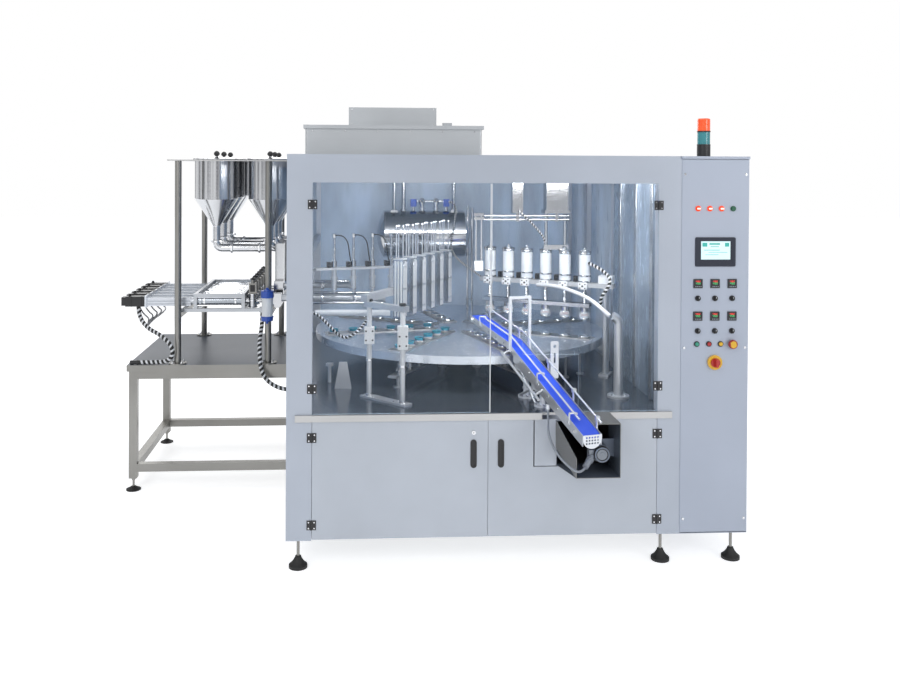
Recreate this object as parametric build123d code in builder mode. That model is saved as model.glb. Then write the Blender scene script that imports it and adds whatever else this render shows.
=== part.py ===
from build123d import *
from math import atan2, cos, degrees, hypot, radians, sin, tan
import os

# Rotary chocolate filling machine: a turntable cabinet, a control column and a dosing table.
# Millimetres, Z up, X to the right seen from the front, Y to the back.
# The origin is on the floor under the middle of the whole machine.

# Driving dimensions of the cabinet
cabinet_width = 2040
cabinet_depth = 2350
cabinet_height = 2128
floor_gap = 158
left_post_width = 130
right_post_width = 120
front_post_depth = 60
top_beam_height = 144
post = 70
rail = 50
sheet = 3
deck_height = 800
deck_thickness = 12
band_height = 34
band_proud = 12
band_inset = 45
side_bay_front = 1040
right_bay_front = 1000
right_bay_back = 1690
window_thickness = 6
side_opening_height = 700

# Driving dimensions of the doors and their hinges
upper_split = 1045
lower_split = 1034
glass_thickness = 8
door_thickness = 20
door_gap = 2
door_floor_gap = 5
notch_width = 168
notch_height = 525
lane_slot_width = 290
lane_slot_height = 300
hinge_height = 48
hinge_leaf = 24
hinge_plate = 4
hinge_barrel = 9
hinge_inset = 110
running_gap = 0.3
weld_gap = 0.2
handle_width = 32
handle_height = 146
handle_proud = 5
lock_diameter = 22

# Driving dimensions of the control column and its panel
control_width = 360
control_depth = 1000
cover_margin = 8
lamp_height = 1856
lamp_pitch = 62
lamp_diameter = 29
screen_width = 214
screen_height = 153
screen_middle = 1630
controller_size = 48
controller_rows = (1465, 1295)
selector_rows = (1388, 1218)
panel_pitch = 91
button_height = 1150
main_switch_height = 1054
main_switch_diameter = 76
stack_diameter = 70
stack_height = 205

# Driving dimensions of the roof hood
hood_width = 960
hood_depth = 960
hood_height = 162
hood_lip = 20
fan_width = 498
fan_depth = 500
fan_height = 111

# Driving dimensions of the turntable and its stations
disc_x = 1024
disc_y = 1309
disc_radius = 935
disc_top = 1012
disc_thickness = 12
skirt_height = 45
station_count = 8
cups_per_row = 6
cup_pitch = 125
cup_inner_radius = 219
cup_diameter = 72
cup_plate_width = 104
lane_angle = 15
gearbox_size = 320

# Driving dimensions of the outfeed conveyor
belt_width = 90
belt_thickness = 3
roller_diameter = 24
lane_start = 330
lane_bend = 880
lane_end = 1730
lane_start_height = 1140
lane_bend_height = 1078
lane_end_height = 799
lane_frame_depth = 34
lane_deep_start = 965
lane_deep_depth = 64
lane_plate = 4
lane_side_gap = 2.3
lane_nose = 20
guide_diameter = 10
box_depth = 216
box_height = 270
box_left = 1384
box_right = 1665
motor_diameter = 84
motor_length = 140

# Driving dimensions of the sealing station and the lid magazine
tube_diameter = 72
tube_height = 185
seal_beam_height = 1330
seal_beam_depth = 26
head_height = 1130
seal_rod = 20
magazine_bottom = 1200
magazine_top = 1530
magazine_rod_top = 1727
nozzle_bottom = 1265
nozzle_top = 1640

# Driving dimensions of the holding tank
tank_diameter = 340
tank_length = 680
tank_middle_height = 1574
tank_x = 832
tank_y = 1960

# Driving dimensions of the dosing table, its hoppers and its dosing unit
table_left = 1099
table_front = 1185
table_depth = 1060
table_gap = 12
table_leg = 50
table_sheet = 40
stretcher_height = 120
stand_post = 42
stand_front = 1223
stand_back = 2198
stand_left = 787
stand_right = 216
stand_top = 2095
hopper_diameter = 280
hopper_pitch = 310
hopper_columns = (573, 224)
hopper_cylinder = 255
hopper_cone = 180
hopper_wall = 3
outlet_diameter = 50
elbow_radius = 38
servo_count = 6
servo_pitch = 130
servo_size = 64
servo_length = 150
servo_reach = 64
dosing_height = 1186
dosing_front = 1330
header_half = 28
tube_block = 30
long_tube_y = 1205
long_tube_z = 1222
short_tube_z = 1284
filter_diameter = 76

# Driving dimensions of the cables
bundle_diameter = 26
conduit_diameter = 12
bundle_entry_y = 1150
holder_radius = 1388
holder_drop = 26
bundle_entry_z = 640

# Where the machine stands: cabinet left side and front plane, from the middle of the whole
servo_left = table_left + servo_reach
header_x = -hopper_columns[1] + elbow_radius + header_half + weld_gap
lane = radians(lane_angle)
plate_side = belt_width / 2 + lane_side_gap
scoop_half = plate_side + lane_plate
scoop_r = lane_end + lane_nose
nose_front = (scoop_r + sheet) * cos(lane) + scoop_half * sin(lane) - disc_y
left = (servo_left - cabinet_width - control_width) / 2
front = (nose_front - cabinet_depth) / 2
nodes = {}


def at(x, y, z=0.0):
    return (left + x, front + y, z)


def block(x0, x1, y0, y1, z0, z1, mode=Mode.ADD):
    # A box between two corners, measured from the cabinet's front left floor corner
    with Locations(at(x0, y0, z0)):
        Box(x1 - x0, y1 - y0, z1 - z0, align=(Align.MIN, Align.MIN, Align.MIN), mode=mode)


def member(x0, x1, y0, y1, z0, z1, along):
    # A frame member as a solid of its own, a weld gap short at both ends
    cut = {"x": (weld_gap, 0, 0), "y": (0, weld_gap, 0), "z": (0, 0, weld_gap)}[along]
    block(x0 + cut[0], x1 - cut[0], y0 + cut[1], y1 - cut[1], z0 + cut[2], z1 - cut[2])


def upright(x, y, z0, z1, diameter, mode=Mode.ADD):
    # A round bar standing on its lower end
    with Locations(at(x, y, z0)):
        Cylinder(diameter / 2, z1 - z0, align=(Align.CENTER, Align.CENTER, Align.MIN), mode=mode)


def across(x, y, z, length, diameter, mode=Mode.ADD):
    # A round bar that runs to the right from its left end
    with Locations(Location(at(x, y, z), (0, 90, 0))):
        Cylinder(diameter / 2, length, align=(Align.CENTER, Align.CENTER, Align.MIN), mode=mode)


def facing(x, y, z, length, diameter, mode=Mode.ADD):
    # A round piece that comes forward from the plane y
    with Locations(Location(at(x, y, z), (90, 0, 0))):
        Cylinder(diameter / 2, length, align=(Align.CENTER, Align.CENTER, Align.MIN), mode=mode)


def facing_plane(x, y, z=0.0):
    # An upright plane that faces forward
    return Plane(origin=at(x, y, z), x_dir=(1, 0, 0), z_dir=(0, -1, 0))


def polar(radius, angle):
    # A place over the disc, by its distance from the shaft and its direction
    return (disc_x + radius * cos(radians(angle)), disc_y + radius * sin(radians(angle)))


def station_plane(angle, z):
    # A level plane at the shaft whose X runs outward along a station's row
    turned = (cos(radians(angle)), sin(radians(angle)), 0)
    return Plane(origin=at(disc_x, disc_y, z), x_dir=turned, z_dir=(0, 0, 1))


def keep(builder, name):
    # Labels a finished piece and notes it for export
    builder.part.label = name
    nodes[name] = builder.part


discharge = -90 + lane_angle
seal_angle = discharge + 360 / station_count
magazine_angle = discharge - 360 / station_count
nozzle_angle = discharge - 2 * 360 / station_count
cup_radii = [cup_inner_radius + cup_pitch * i for i in range(cups_per_row)]
beam_bottom = cabinet_height - top_beam_height
frame_top = cabinet_height - sheet
rail_top = deck_height - deck_thickness
band_bottom = deck_height - band_height
right_edge = cabinet_width - right_post_width

# Cabinet frame: front sheet posts and beam, square posts and rails
rail_levels = ((floor_gap, floor_gap + rail), (rail_top - post, rail_top), (frame_top - post, frame_top))
with BuildPart() as cabinet_frame:
    for x0, x1 in ((0, left_post_width), (right_edge, cabinet_width)):
        with BuildSketch(Plane.XY.offset(floor_gap)):
            with Locations(at((x0 + x1) / 2, front_post_depth / 2)):
                Rectangle(x1 - x0, front_post_depth)
            with Locations(at((x0 + x1) / 2, (front_post_depth + sheet) / 2)):
                Rectangle(x1 - x0 - 2 * sheet, front_post_depth - sheet, mode=Mode.SUBTRACT)
        extrude(amount=cabinet_height - floor_gap)
    with BuildSketch(Plane(origin=at(left_post_width + weld_gap, 0), x_dir=(0, 1, 0), z_dir=(1, 0, 0))):
        with Locations((front_post_depth / 2, cabinet_height - top_beam_height / 2)):
            Rectangle(front_post_depth, top_beam_height)
        with Locations(((front_post_depth + sheet) / 2, cabinet_height - top_beam_height / 2)):
            Rectangle(front_post_depth - sheet, top_beam_height - 2 * sheet, mode=Mode.SUBTRACT)
    extrude(amount=right_edge - left_post_width - 2 * weld_gap)
    for x0 in (0, cabinet_width - post):
        block(x0, x0 + post, cabinet_depth - post, cabinet_depth, floor_gap, frame_top)
        for z0, z1 in rail_levels:
            member(x0, x0 + post, front_post_depth, cabinet_depth - post, z0, z1, "y")
    for z0, z1 in rail_levels:
        member(post, cabinet_width - post, cabinet_depth - post, cabinet_depth, z0, z1, "x")
    for z0 in (floor_gap, rail_top - rail):
        member(post, cabinet_width - post, front_post_depth + weld_gap, front_post_depth + rail,
               z0, z0 + rail, "x")
    window_top = frame_top - post
    opening_top = deck_height + side_opening_height
    member(0, post, side_bay_front, side_bay_front + post, deck_height, window_top, "z")
    for y0 in (right_bay_front, right_bay_back):
        member(cabinet_width - post, cabinet_width, y0, y0 + post, deck_height, window_top, "z")
    member(0, post, side_bay_front + post, cabinet_depth - post, opening_top, opening_top + rail, "y")
keep(cabinet_frame, "cabinet_frame")

# Deck: a steel plate on the rails, with a stainless band along its front edge
box_mouth = box_left - 72
with BuildPart() as deck_plate:
    with BuildSketch(Plane.XY.offset(rail_top)):
        with Locations(at(cabinet_width / 2, cabinet_depth / 2)):
            Rectangle(cabinet_width, cabinet_depth)
        with Locations(at(left_post_width / 2, front_post_depth / 2)):
            Rectangle(left_post_width, front_post_depth, mode=Mode.SUBTRACT)
        with Locations(at((right_edge + cabinet_width) / 2, front_post_depth / 2)):
            Rectangle(right_post_width, front_post_depth, mode=Mode.SUBTRACT)
        with Locations(at(post / 2, cabinet_depth - post / 2),
                       at(cabinet_width - post / 2, cabinet_depth - post / 2)):
            Rectangle(post, post, mode=Mode.SUBTRACT)
    extrude(amount=deck_thickness)
    block(band_inset, box_mouth, -band_proud, 0, band_bottom, deck_height)
    block(box_right, cabinet_width - band_inset, -band_proud, 0, band_bottom, deck_height)
keep(deck_plate, "deck_plate")

# Skins: sheets that close the lower cabinet at its sides and back, its floor and the roof
with BuildPart() as cabinet_skins:
    skin_bottom = floor_gap + rail
    skin_top = rail_top - post
    for x0 in (post - sheet, cabinet_width - post):
        block(x0, x0 + sheet, front_post_depth + rail, cabinet_depth - post, skin_bottom, skin_top)
    block(post, cabinet_width - post, cabinet_depth - post, cabinet_depth - post + sheet, skin_bottom, skin_top)
    block(post, cabinet_width - post, front_post_depth + rail, cabinet_depth - post,
          floor_gap, floor_gap + sheet)
    block(0, cabinet_width, front_post_depth, cabinet_depth, frame_top, cabinet_height)
    block(cabinet_width - post - sheet, cabinet_width - post, front_post_depth, right_bay_front,
          deck_height, frame_top - weld_gap)
    across(post - sheet - 30, bundle_entry_y, bundle_entry_z, 30, bundle_diameter + 12)
keep(cabinet_skins, "cabinet_skins")

# Windows: clear sheets on the sides and the back of the work chamber
with BuildPart() as side_windows:
    pane_x = (post - window_thickness) / 2
    block(pane_x, pane_x + window_thickness, front_post_depth, side_bay_front, deck_height, window_top)
    block(pane_x, pane_x + window_thickness, side_bay_front + post, cabinet_depth - post,
          opening_top + rail, window_top)
    pane_x = cabinet_width - pane_x - window_thickness
    block(pane_x, pane_x + window_thickness, right_bay_front + post, right_bay_back, deck_height, window_top)
    block(pane_x, pane_x + window_thickness, right_bay_back + post, cabinet_depth - post,
          deck_height, window_top)
    pane_y = cabinet_depth - post / 2
    block(post, cabinet_width - post, pane_y, pane_y + window_thickness, deck_height, window_top)
keep(side_windows, "side_windows")

# Roof hood: a filter housing with a lip, a fan box on it and a small lid
hood_left = (left_post_width + 2 * 8) / 2
hood_front = 300
hood_top = cabinet_height + hood_height
with BuildPart() as roof_hood:
    with BuildSketch(Plane(origin=at(hood_left, hood_front, cabinet_height))):
        RectangleRounded(hood_width, hood_depth, 12, align=(Align.MIN, Align.MIN))
        offset(amount=-sheet, mode=Mode.SUBTRACT)
    extrude(amount=hood_height - hood_lip)
    block(hood_left - hood_lip / 2, hood_left + hood_width + hood_lip / 2, hood_front - hood_lip / 2,
          hood_front + hood_depth + hood_lip / 2, hood_top - hood_lip, hood_top)
    fan_left = hood_left + (hood_width - fan_width) / 2
    fan_front = hood_front + (hood_depth - fan_depth) / 2
    block(fan_left, fan_left + fan_width, fan_front, fan_front + fan_depth, hood_top, hood_top + fan_height)
    block(fan_left + sheet, fan_left + fan_width - sheet, fan_front + sheet, fan_front + fan_depth - sheet,
          hood_top, hood_top + fan_height - sheet, mode=Mode.SUBTRACT)
    for i in range(6):
        slot_x = fan_left + fan_width * (i + 1) / 7
        block(slot_x - 22, slot_x + 22, fan_front - 1, fan_front + sheet + 1,
              hood_top + 30, hood_top + 42, mode=Mode.SUBTRACT)
    block(hood_left + 0.8 * hood_width, hood_left + 0.8 * hood_width + 51, fan_front, fan_front + 51,
          hood_top, hood_top + 26)
keep(roof_hood, "roof_hood")


# Levelling feet: a bell-shaped rubber pad, a stud and a lock nut under each corner
def levelling_foot(x, y, top, pad, pad_height, stud):
    with BuildSketch(facing_plane(x, y)) as bell:
        with BuildLine():
            Polyline((0, pad_height), (0, 0), (pad / 2, 0), (pad / 2, pad_height * 0.25))
            ThreePointArc((pad / 2, pad_height * 0.25), (pad * 0.3, pad_height * 0.55),
                          (stud * 0.9, pad_height))
            Line((stud * 0.9, pad_height), (0, pad_height))
        make_face()
    revolve(bell.sketch, axis=Axis(at(x, y), (0, 0, 1)))
    upright(x, y, pad_height, top, stud)
    with BuildSketch(Plane(origin=at(x, y, top - 14))) as nut:
        RegularPolygon(stud * 0.9, 6)
    extrude(nut.sketch, amount=14)


foot_inset = 60
leg_inset = 12
leg_bottom = 78
table_right = -table_gap
table_back = table_front + table_depth
leg_left = (-table_left + leg_inset, -table_left + leg_inset + table_leg)
leg_right = (table_right - leg_inset - table_leg, table_right - leg_inset)
leg_front = (table_front + leg_inset, table_front + leg_inset + table_leg)
leg_back = (table_back - leg_inset - table_leg, table_back - leg_inset)
with BuildPart() as levelling_feet:
    for x in (foot_inset, cabinet_width - foot_inset - 20):
        for y in (foot_inset, cabinet_depth - foot_inset):
            levelling_foot(x, y, floor_gap, 96, 60, 16)
    for y in (foot_inset, control_depth - foot_inset):
        levelling_foot(cabinet_width + control_width - foot_inset, y, floor_gap, 96, 60, 16)
    for x0, x1 in (leg_left, leg_right):
        for y0, y1 in (leg_front, leg_back):
            levelling_foot((x0 + x1) / 2, (y0 + y1) / 2, leg_bottom, 92, 26, 14)
keep(levelling_feet, "levelling_feet")

# Control column: a steel housing, open at the front behind its screwed cover
control_right = cabinet_width + control_width
with BuildPart() as control_cabinet:
    block(cabinet_width, control_right, 0, control_depth, floor_gap, cabinet_height)
    block(cabinet_width + sheet, control_right - sheet, -1, control_depth - sheet,
          floor_gap + sheet, cabinet_height - sheet, mode=Mode.SUBTRACT)
    block(cabinet_width, control_right, -band_proud, 0, cabinet_height - 14, cabinet_height)
keep(control_cabinet, "control_cabinet")

# Control cover: a flanged plate with six screws
cover_bottom = floor_gap + cover_margin
cover_top = cabinet_height - 16
cover_screws = [(x, z) for x in (cabinet_width + 18, control_right - 18) for z in (237, 1130, 2035)]
with BuildPart() as control_cover:
    block(cabinet_width + sheet / 2, control_right - sheet / 2, -sheet, 0, cover_bottom, cover_top)
    for x, z in cover_screws:
        facing(x, -sheet, z, 3, 13)
keep(control_cover, "control_cover")

panel_middle = cabinet_width + control_width / 2
panel_columns = [panel_middle + panel_pitch * i for i in (-1, 0, 1)]
panel_face = -sheet


# A round bezel that stands on the cover, as a stepped turned ring
def bezel(x, z, diameter, proud, bore):
    with BuildSketch(facing_plane(x, panel_face, z)) as ring:
        Circle(diameter / 2)
        if bore:
            Circle(bore / 2, mode=Mode.SUBTRACT)
    extrude(ring.sketch, amount=proud)


lamp_columns = [panel_middle + lamp_pitch * i for i in (-1.5, -0.5, 0.5, 1.5)]
button_columns = [lamp_columns[0] - 3, lamp_columns[1], lamp_columns[2]]
stop_x = panel_columns[2]
stop_neck = 24
stop_collar = 8
# Instruments: touch screen, temperature controllers, lamps and the collars of switches and buttons
with BuildPart() as panel_instruments:
    with BuildSketch(facing_plane(panel_middle, panel_face, screen_middle)):
        RectangleRounded(screen_width, screen_height, 8)
    extrude(amount=7, taper=8)
    with BuildSketch(facing_plane(panel_middle, panel_face - 7, screen_middle)):
        Rectangle(screen_width - 40, screen_height - 40)
    extrude(amount=-1.5, mode=Mode.SUBTRACT)
    for z in controller_rows:
        for x in panel_columns:
            with BuildSketch(facing_plane(x, panel_face, z)):
                Rectangle(controller_size, controller_size)
            extrude(amount=8, taper=10)
            with BuildSketch(facing_plane(x, panel_face - 8, z + 6)):
                Rectangle(controller_size - 14, controller_size * 0.45)
            extrude(amount=-1.5, mode=Mode.SUBTRACT)
    for x in lamp_columns:
        bezel(x, lamp_height, lamp_diameter, 5, 0)
        with BuildSketch(facing_plane(x, panel_face - 5, lamp_height)):
            Circle(lamp_diameter * 0.4)
        extrude(amount=9, taper=12)
    for z in selector_rows:
        for x in panel_columns:
            bezel(x, z, lamp_diameter, 5, 0)
    for x in button_columns:
        bezel(x, button_height, lamp_diameter, 6, 21)
    bezel(stop_x, button_height, lamp_diameter * 1.1, stop_collar, stop_neck + 2 * running_gap)
    bezel(panel_columns[1], main_switch_height, main_switch_diameter, 12, 0)
keep(panel_instruments, "panel_instruments")

# Selectors: a round knob with a grip bar across it, turning on its bezel
selector_face = panel_face - 5 - running_gap
for row, z in enumerate(selector_rows):
    for column, x in enumerate(panel_columns):
        with BuildPart() as selector:
            facing(x, selector_face, z, 6, 24)
            with BuildSketch(facing_plane(x, selector_face - 6, z)):
                SlotOverall(21, 8, rotation=90)
            extrude(amount=10)
        keep(selector, f"selector_{row + 1}_{column + 1}")

# Push buttons: caps in their bezels, with the travel left free behind them
button_travel = 4
for name, x in zip(("start_button", "stop_button", "reset_button"), button_columns):
    with BuildPart() as button:
        facing(x, panel_face - button_travel - running_gap, button_height, 7, 20)
        fillet(button.faces().sort_by(Axis.Y)[0].edges(), 1.5)
    keep(button, name)

# Emergency stop: a mushroom cap on a short neck
stop_travel = 4.5
stop_back = panel_face - stop_travel - running_gap
stop_cap = panel_face - stop_collar - stop_travel - running_gap
with BuildPart() as emergency_button:
    facing(stop_x, stop_back, button_height, stop_back - stop_cap, stop_neck)
    facing(stop_x, stop_cap, button_height, 16, 46)
    fillet(emergency_button.faces().sort_by(Axis.Y)[0].edges(), 5)
keep(emergency_button, "emergency_button")

# Main switch: a turning handle on its round collar
with BuildPart() as main_switch_knob:
    knob_face = panel_face - 12 - running_gap
    facing(panel_columns[1], knob_face, main_switch_height, 9, 48)
    with BuildSketch(facing_plane(panel_columns[1], knob_face - 9, main_switch_height)):
        SlotOverall(46, 15, rotation=90)
    extrude(amount=22, taper=4)
keep(main_switch_knob, "main_switch_knob")

# Stack light: a black base on the roof and two lenses
stack_x = panel_middle - 7
stack_y = 150
with BuildPart() as stack_light:
    lens = (stack_height - 65) / 2
    upright(stack_x, stack_y, cabinet_height, cabinet_height + 65, stack_diameter)
    upright(stack_x, stack_y, cabinet_height + 65, cabinet_height + 65 + lens - 4, stack_diameter - 4)
    upright(stack_x, stack_y, cabinet_height + 61 + lens, cabinet_height + 65 + lens, stack_diameter)
    upright(stack_x, stack_y, cabinet_height + 65 + lens, cabinet_height + stack_height, stack_diameter - 4)
    fillet(stack_light.faces().sort_by(Axis.Z)[-1].edges(), 8)
keep(stack_light, "stack_light")

# Hinges: every hinge has two outer knuckles on the post and one inner knuckle on the door
upper_bottom = deck_height + 3
upper_top = beam_bottom - door_gap
lower_bottom = floor_gap + door_floor_gap
lower_top = band_bottom - door_gap
upper_hinges = (upper_bottom + hinge_inset + 20, upper_top - hinge_inset)
lower_hinges = (lower_bottom + hinge_inset - 35, lower_top - hinge_inset + 30)
hinge_line = -hinge_barrel / 2


def hinge_half(x, z, side, fixed):
    # One leaf with its knuckles; side is -1 for the leaf on the left of the pin
    inner = hinge_height / 4
    clear = hinge_barrel / 2 + running_gap
    leaf_plane = facing_plane(x, 0, z)
    with BuildSketch(leaf_plane) as leaf:
        with Locations((side * (clear + hinge_leaf) / 2, 0)):
            Rectangle(hinge_leaf - clear, hinge_height)
        spans = ((-hinge_height / 2, -inner - running_gap), (inner + running_gap, hinge_height / 2))
        if not fixed:
            spans = ((-inner, inner),)
        for z0, z1 in spans:
            with Locations((side * clear / 2, (z0 + z1) / 2)):
                Rectangle(clear, z1 - z0)
    extrude(leaf.sketch, amount=hinge_plate)
    for z0, z1 in spans:
        upright(x, hinge_line, z + z0, z + z1, hinge_barrel)
    for dz in (-hinge_height / 3.2, hinge_height / 3.2):
        facing(x + side * (hinge_leaf + clear) / 2, -hinge_plate, z + dz, 1.5, 7)


left_pin = left_post_width
right_pin = right_edge
with BuildPart() as door_hinges:
    for z in upper_hinges + lower_hinges:
        hinge_half(left_pin, z, -1, True)
        hinge_half(right_pin, z, 1, True)
keep(door_hinges, "door_hinges")

# Upper doors: clear sheets; the right one has a stepped cut-out for the outfeed lane
with BuildPart() as upper_left_door:
    block(left_pin + door_gap, upper_split - door_gap / 2, 0, glass_thickness, upper_bottom, upper_top)
    for z in upper_hinges:
        hinge_half(left_pin, z, 1, False)
keep(upper_left_door, "upper_left_door")

front_plane = facing_plane(0, 0)
slot_right = upper_split + notch_width + lane_slot_width
with BuildPart() as upper_right_door:
    with BuildSketch(front_plane):
        with BuildLine():
            Polyline((upper_split + door_gap / 2, upper_top), (right_pin - door_gap, upper_top),
                     (right_pin - door_gap, upper_bottom), (slot_right, upper_bottom),
                     (slot_right, deck_height + lane_slot_height),
                     (upper_split + notch_width, deck_height + lane_slot_height),
                     (upper_split + notch_width, deck_height + notch_height),
                     (upper_split + door_gap / 2, deck_height + notch_height), close=True)
        make_face()
    extrude(amount=-glass_thickness)
    for z in upper_hinges:
        hinge_half(right_pin, z, -1, False)
keep(upper_right_door, "upper_right_door")


# The lower right door swings past the outfeed's end, so its cut-out reaches this far from the hinge
swing_cut = right_pin - 650


# Lower doors: folded steel trays with a pull handle and a quarter-turn lock
def door_tray(x0, x1, pin, side):
    block(x0, x1, 0, door_thickness, lower_bottom, lower_top)
    block(x0 + sheet, x1 - sheet, sheet, door_thickness + 1, lower_bottom + sheet, lower_top - sheet,
          mode=Mode.SUBTRACT)
    for z in lower_hinges:
        hinge_half(pin, z, side, False)


def pull_handle(x, z):
    # A rounded plate with a finger hollow in its face
    plate = facing_plane(x, 0, z)
    with BuildSketch(plate) as outline:
        SlotOverall(handle_height, handle_width, rotation=90)
    extrude(outline.sketch, amount=handle_proud)
    with BuildSketch(plate.offset(handle_proud)) as hollow:
        SlotOverall(handle_height - 16, handle_width - 14, rotation=90)
    extrude(hollow.sketch, amount=-3.5, mode=Mode.SUBTRACT)


handle_z = lower_top - 172
handle_offset = 75
with BuildPart() as lower_left_door:
    door_tray(left_pin + door_gap, lower_split - door_gap / 2, left_pin, 1)
    pull_handle(lower_split - handle_offset, handle_z)
    facing(lower_split - handle_offset, 0, handle_z + 109, 6, lock_diameter)
keep(lower_left_door, "lower_left_door")

with BuildPart() as lower_right_door:
    door_tray(lower_split + door_gap / 2, right_pin - door_gap, right_pin, -1)
    block(swing_cut, box_right + 14, -1, door_thickness + 1, deck_height - box_height - 10,
          lower_top + 1, mode=Mode.SUBTRACT)
    pull_handle(lower_split + handle_offset - 8, handle_z)
keep(lower_right_door, "lower_right_door")

# Index drive: gearbox, motor and bearing housing under and on the deck
hub_top = disc_top - disc_thickness - 28
housing_top = hub_top - running_gap
gear_bottom = rail_top - gearbox_size * 0.7
with BuildPart() as index_drive:
    block(disc_x - gearbox_size / 2, disc_x + gearbox_size / 2, disc_y - gearbox_size / 2,
          disc_y + gearbox_size / 2, gear_bottom, rail_top)
    across(disc_x + gearbox_size / 2, disc_y, gear_bottom + gearbox_size * 0.3, 250, 140)
    across(disc_x + gearbox_size / 2 + 250, disc_y, gear_bottom + gearbox_size * 0.3, 60, 124)
    with BuildSketch(Plane(origin=at(disc_x, disc_y, deck_height))):
        Circle(gearbox_size * 0.45)
    extrude(amount=housing_top - deck_height, taper=8)
keep(index_drive, "index_drive")

# Turntable: a disc with a skirt, a ribbed hub and radial grooves between its segments
with BuildPart() as turntable_disc:
    with BuildSketch(facing_plane(disc_x, disc_y)):
        with BuildLine():
            Polyline((0, disc_top), (disc_radius, disc_top), (disc_radius, disc_top - skirt_height),
                     (disc_radius - 10, disc_top - skirt_height), (disc_radius - 10, disc_top - disc_thickness),
                     (240, disc_top - disc_thickness), (130, hub_top), (0, hub_top), close=True)
        make_face()
    revolve(axis=Axis(at(disc_x, disc_y), (0, 0, 1)))
    for i in range(station_count):
        with BuildSketch(station_plane(discharge + (i + 0.5) * 360 / station_count, disc_top)):
            with Locations((disc_radius * 0.57, 0)):
                Rectangle(disc_radius * 0.86, 5)
        extrude(amount=-2, mode=Mode.SUBTRACT)
keep(turntable_disc, "turntable_disc")

# Cup rows: one carrier bar per station with a low ring for every cup
row_middle = (cup_radii[0] + cup_radii[-1]) / 2
row_length = cup_radii[-1] - cup_radii[0] + cup_plate_width - 10
with BuildPart() as cup_rows:
    for i in range(station_count):
        row_plane = station_plane(discharge + i * 360 / station_count, disc_top)
        with BuildSketch(row_plane):
            with Locations((row_middle, 0)):
                Rectangle(row_length, cup_plate_width)
        extrude(amount=5)
        with BuildSketch(row_plane.offset(5)):
            for radius in cup_radii:
                with Locations((radius, 0)):
                    Circle(cup_diameter / 2)
        extrude(amount=8)
keep(cup_rows, "cup_rows")

# Outfeed conveyor: side plates that bend down past the rim, a slider bed and guide rods
lane_plane = Plane(origin=at(disc_x, disc_y), x_dir=(sin(lane), -cos(lane), 0),
                   z_dir=(-cos(lane), -sin(lane), 0))
bend_slope = (lane_bend_height - lane_end_height) / (lane_end - lane_bend)
flat_slope = (lane_start_height - lane_bend_height) / (lane_bend - lane_start)


def lane_height(radius):
    # Belt top at a distance from the shaft
    if radius < lane_bend:
        return lane_bend_height + flat_slope * (lane_bend - radius)
    return lane_bend_height - bend_slope * (radius - lane_bend)


def lane_bottom(radius):
    # Lower edge of the deep part of the side plates, which get shallower towards the nose
    nose_rise = 16 * (radius - lane_deep_start) / (scoop_r - lane_deep_start)
    return lane_height(radius) - lane_deep_depth + nose_rise


def lane_point(radius, side, rise=0.0):
    # A place beside or over the belt, in cabinet coordinates; side is to the right
    x = disc_x + radius * sin(lane) + side * cos(lane)
    y = disc_y - radius * cos(lane) + side * sin(lane)
    return (x, y, lane_height(radius) + rise)


with BuildPart() as conveyor_frame:
    for side in (-1, 1):
        with BuildSketch(lane_plane.offset(side * plate_side)):
            with BuildLine():
                Polyline((lane_start - 14, lane_height(lane_start) + 4), (lane_bend, lane_bend_height + 4),
                         (scoop_r, lane_height(scoop_r) + 4),
                         (scoop_r, lane_bottom(scoop_r)),
                         (lane_deep_start, lane_bottom(lane_deep_start)),
                         (lane_deep_start, lane_height(lane_deep_start) - lane_frame_depth),
                         (lane_bend, lane_bend_height - lane_frame_depth),
                         (lane_start - 14, lane_height(lane_start) - lane_frame_depth), close=True)
            make_face()
        extrude(amount=side * lane_plate)
    bed = belt_thickness + running_gap
    with BuildSketch(lane_plane):
        with BuildLine():
            Polyline((lane_start + 30, lane_height(lane_start + 30) - bed), (lane_bend, lane_bend_height - bed),
                     (lane_end - 30, lane_height(lane_end - 30) - bed),
                     (lane_end - 30, lane_height(lane_end - 30) - bed - 4),
                     (lane_bend, lane_bend_height - bed - 4),
                     (lane_start + 30, lane_height(lane_start + 30) - bed - 4), close=True)
        make_face()
    extrude(amount=plate_side, both=True)
keep(conveyor_frame, "conveyor_frame")

# Guide rods: one over the right side plate and one over the belt, on flat stems
stem_radii = (lane_start + 60, lane_bend - 60, lane_deep_start + 220, lane_deep_start + 500, lane_end - 30)
rod_rise = 50
inner_rod_rise = 24
rod_side = plate_side + lane_plate + guide_diameter / 2
inner_rod_side = -belt_width * 0.2


def lane_rod(side, rise, r0, r1):
    # A round rod in two straight runs that follow the bend of the belt
    for ra, rb in ((r0, lane_bend), (lane_bend, r1)):
        start = Vector(*at(*lane_point(ra, side, rise)))
        run = Vector(*at(*lane_point(rb, side, rise))) - start
        with BuildSketch(Plane(origin=start, z_dir=run.normalized())) as section:
            Circle(guide_diameter / 2)
        extrude(section.sketch, amount=run.length)


# Belt: a closed loop round the two rollers, following the bend
roller_inset = roller_diameter / 2
tail_r, nose_r = lane_start, lane_end
tail_z = lane_height(tail_r) - belt_thickness - roller_inset - running_gap
nose_z = lane_height(nose_r) - belt_thickness - roller_inset - running_gap
inner_r = roller_inset + running_gap
outer_r = inner_r + belt_thickness


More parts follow.
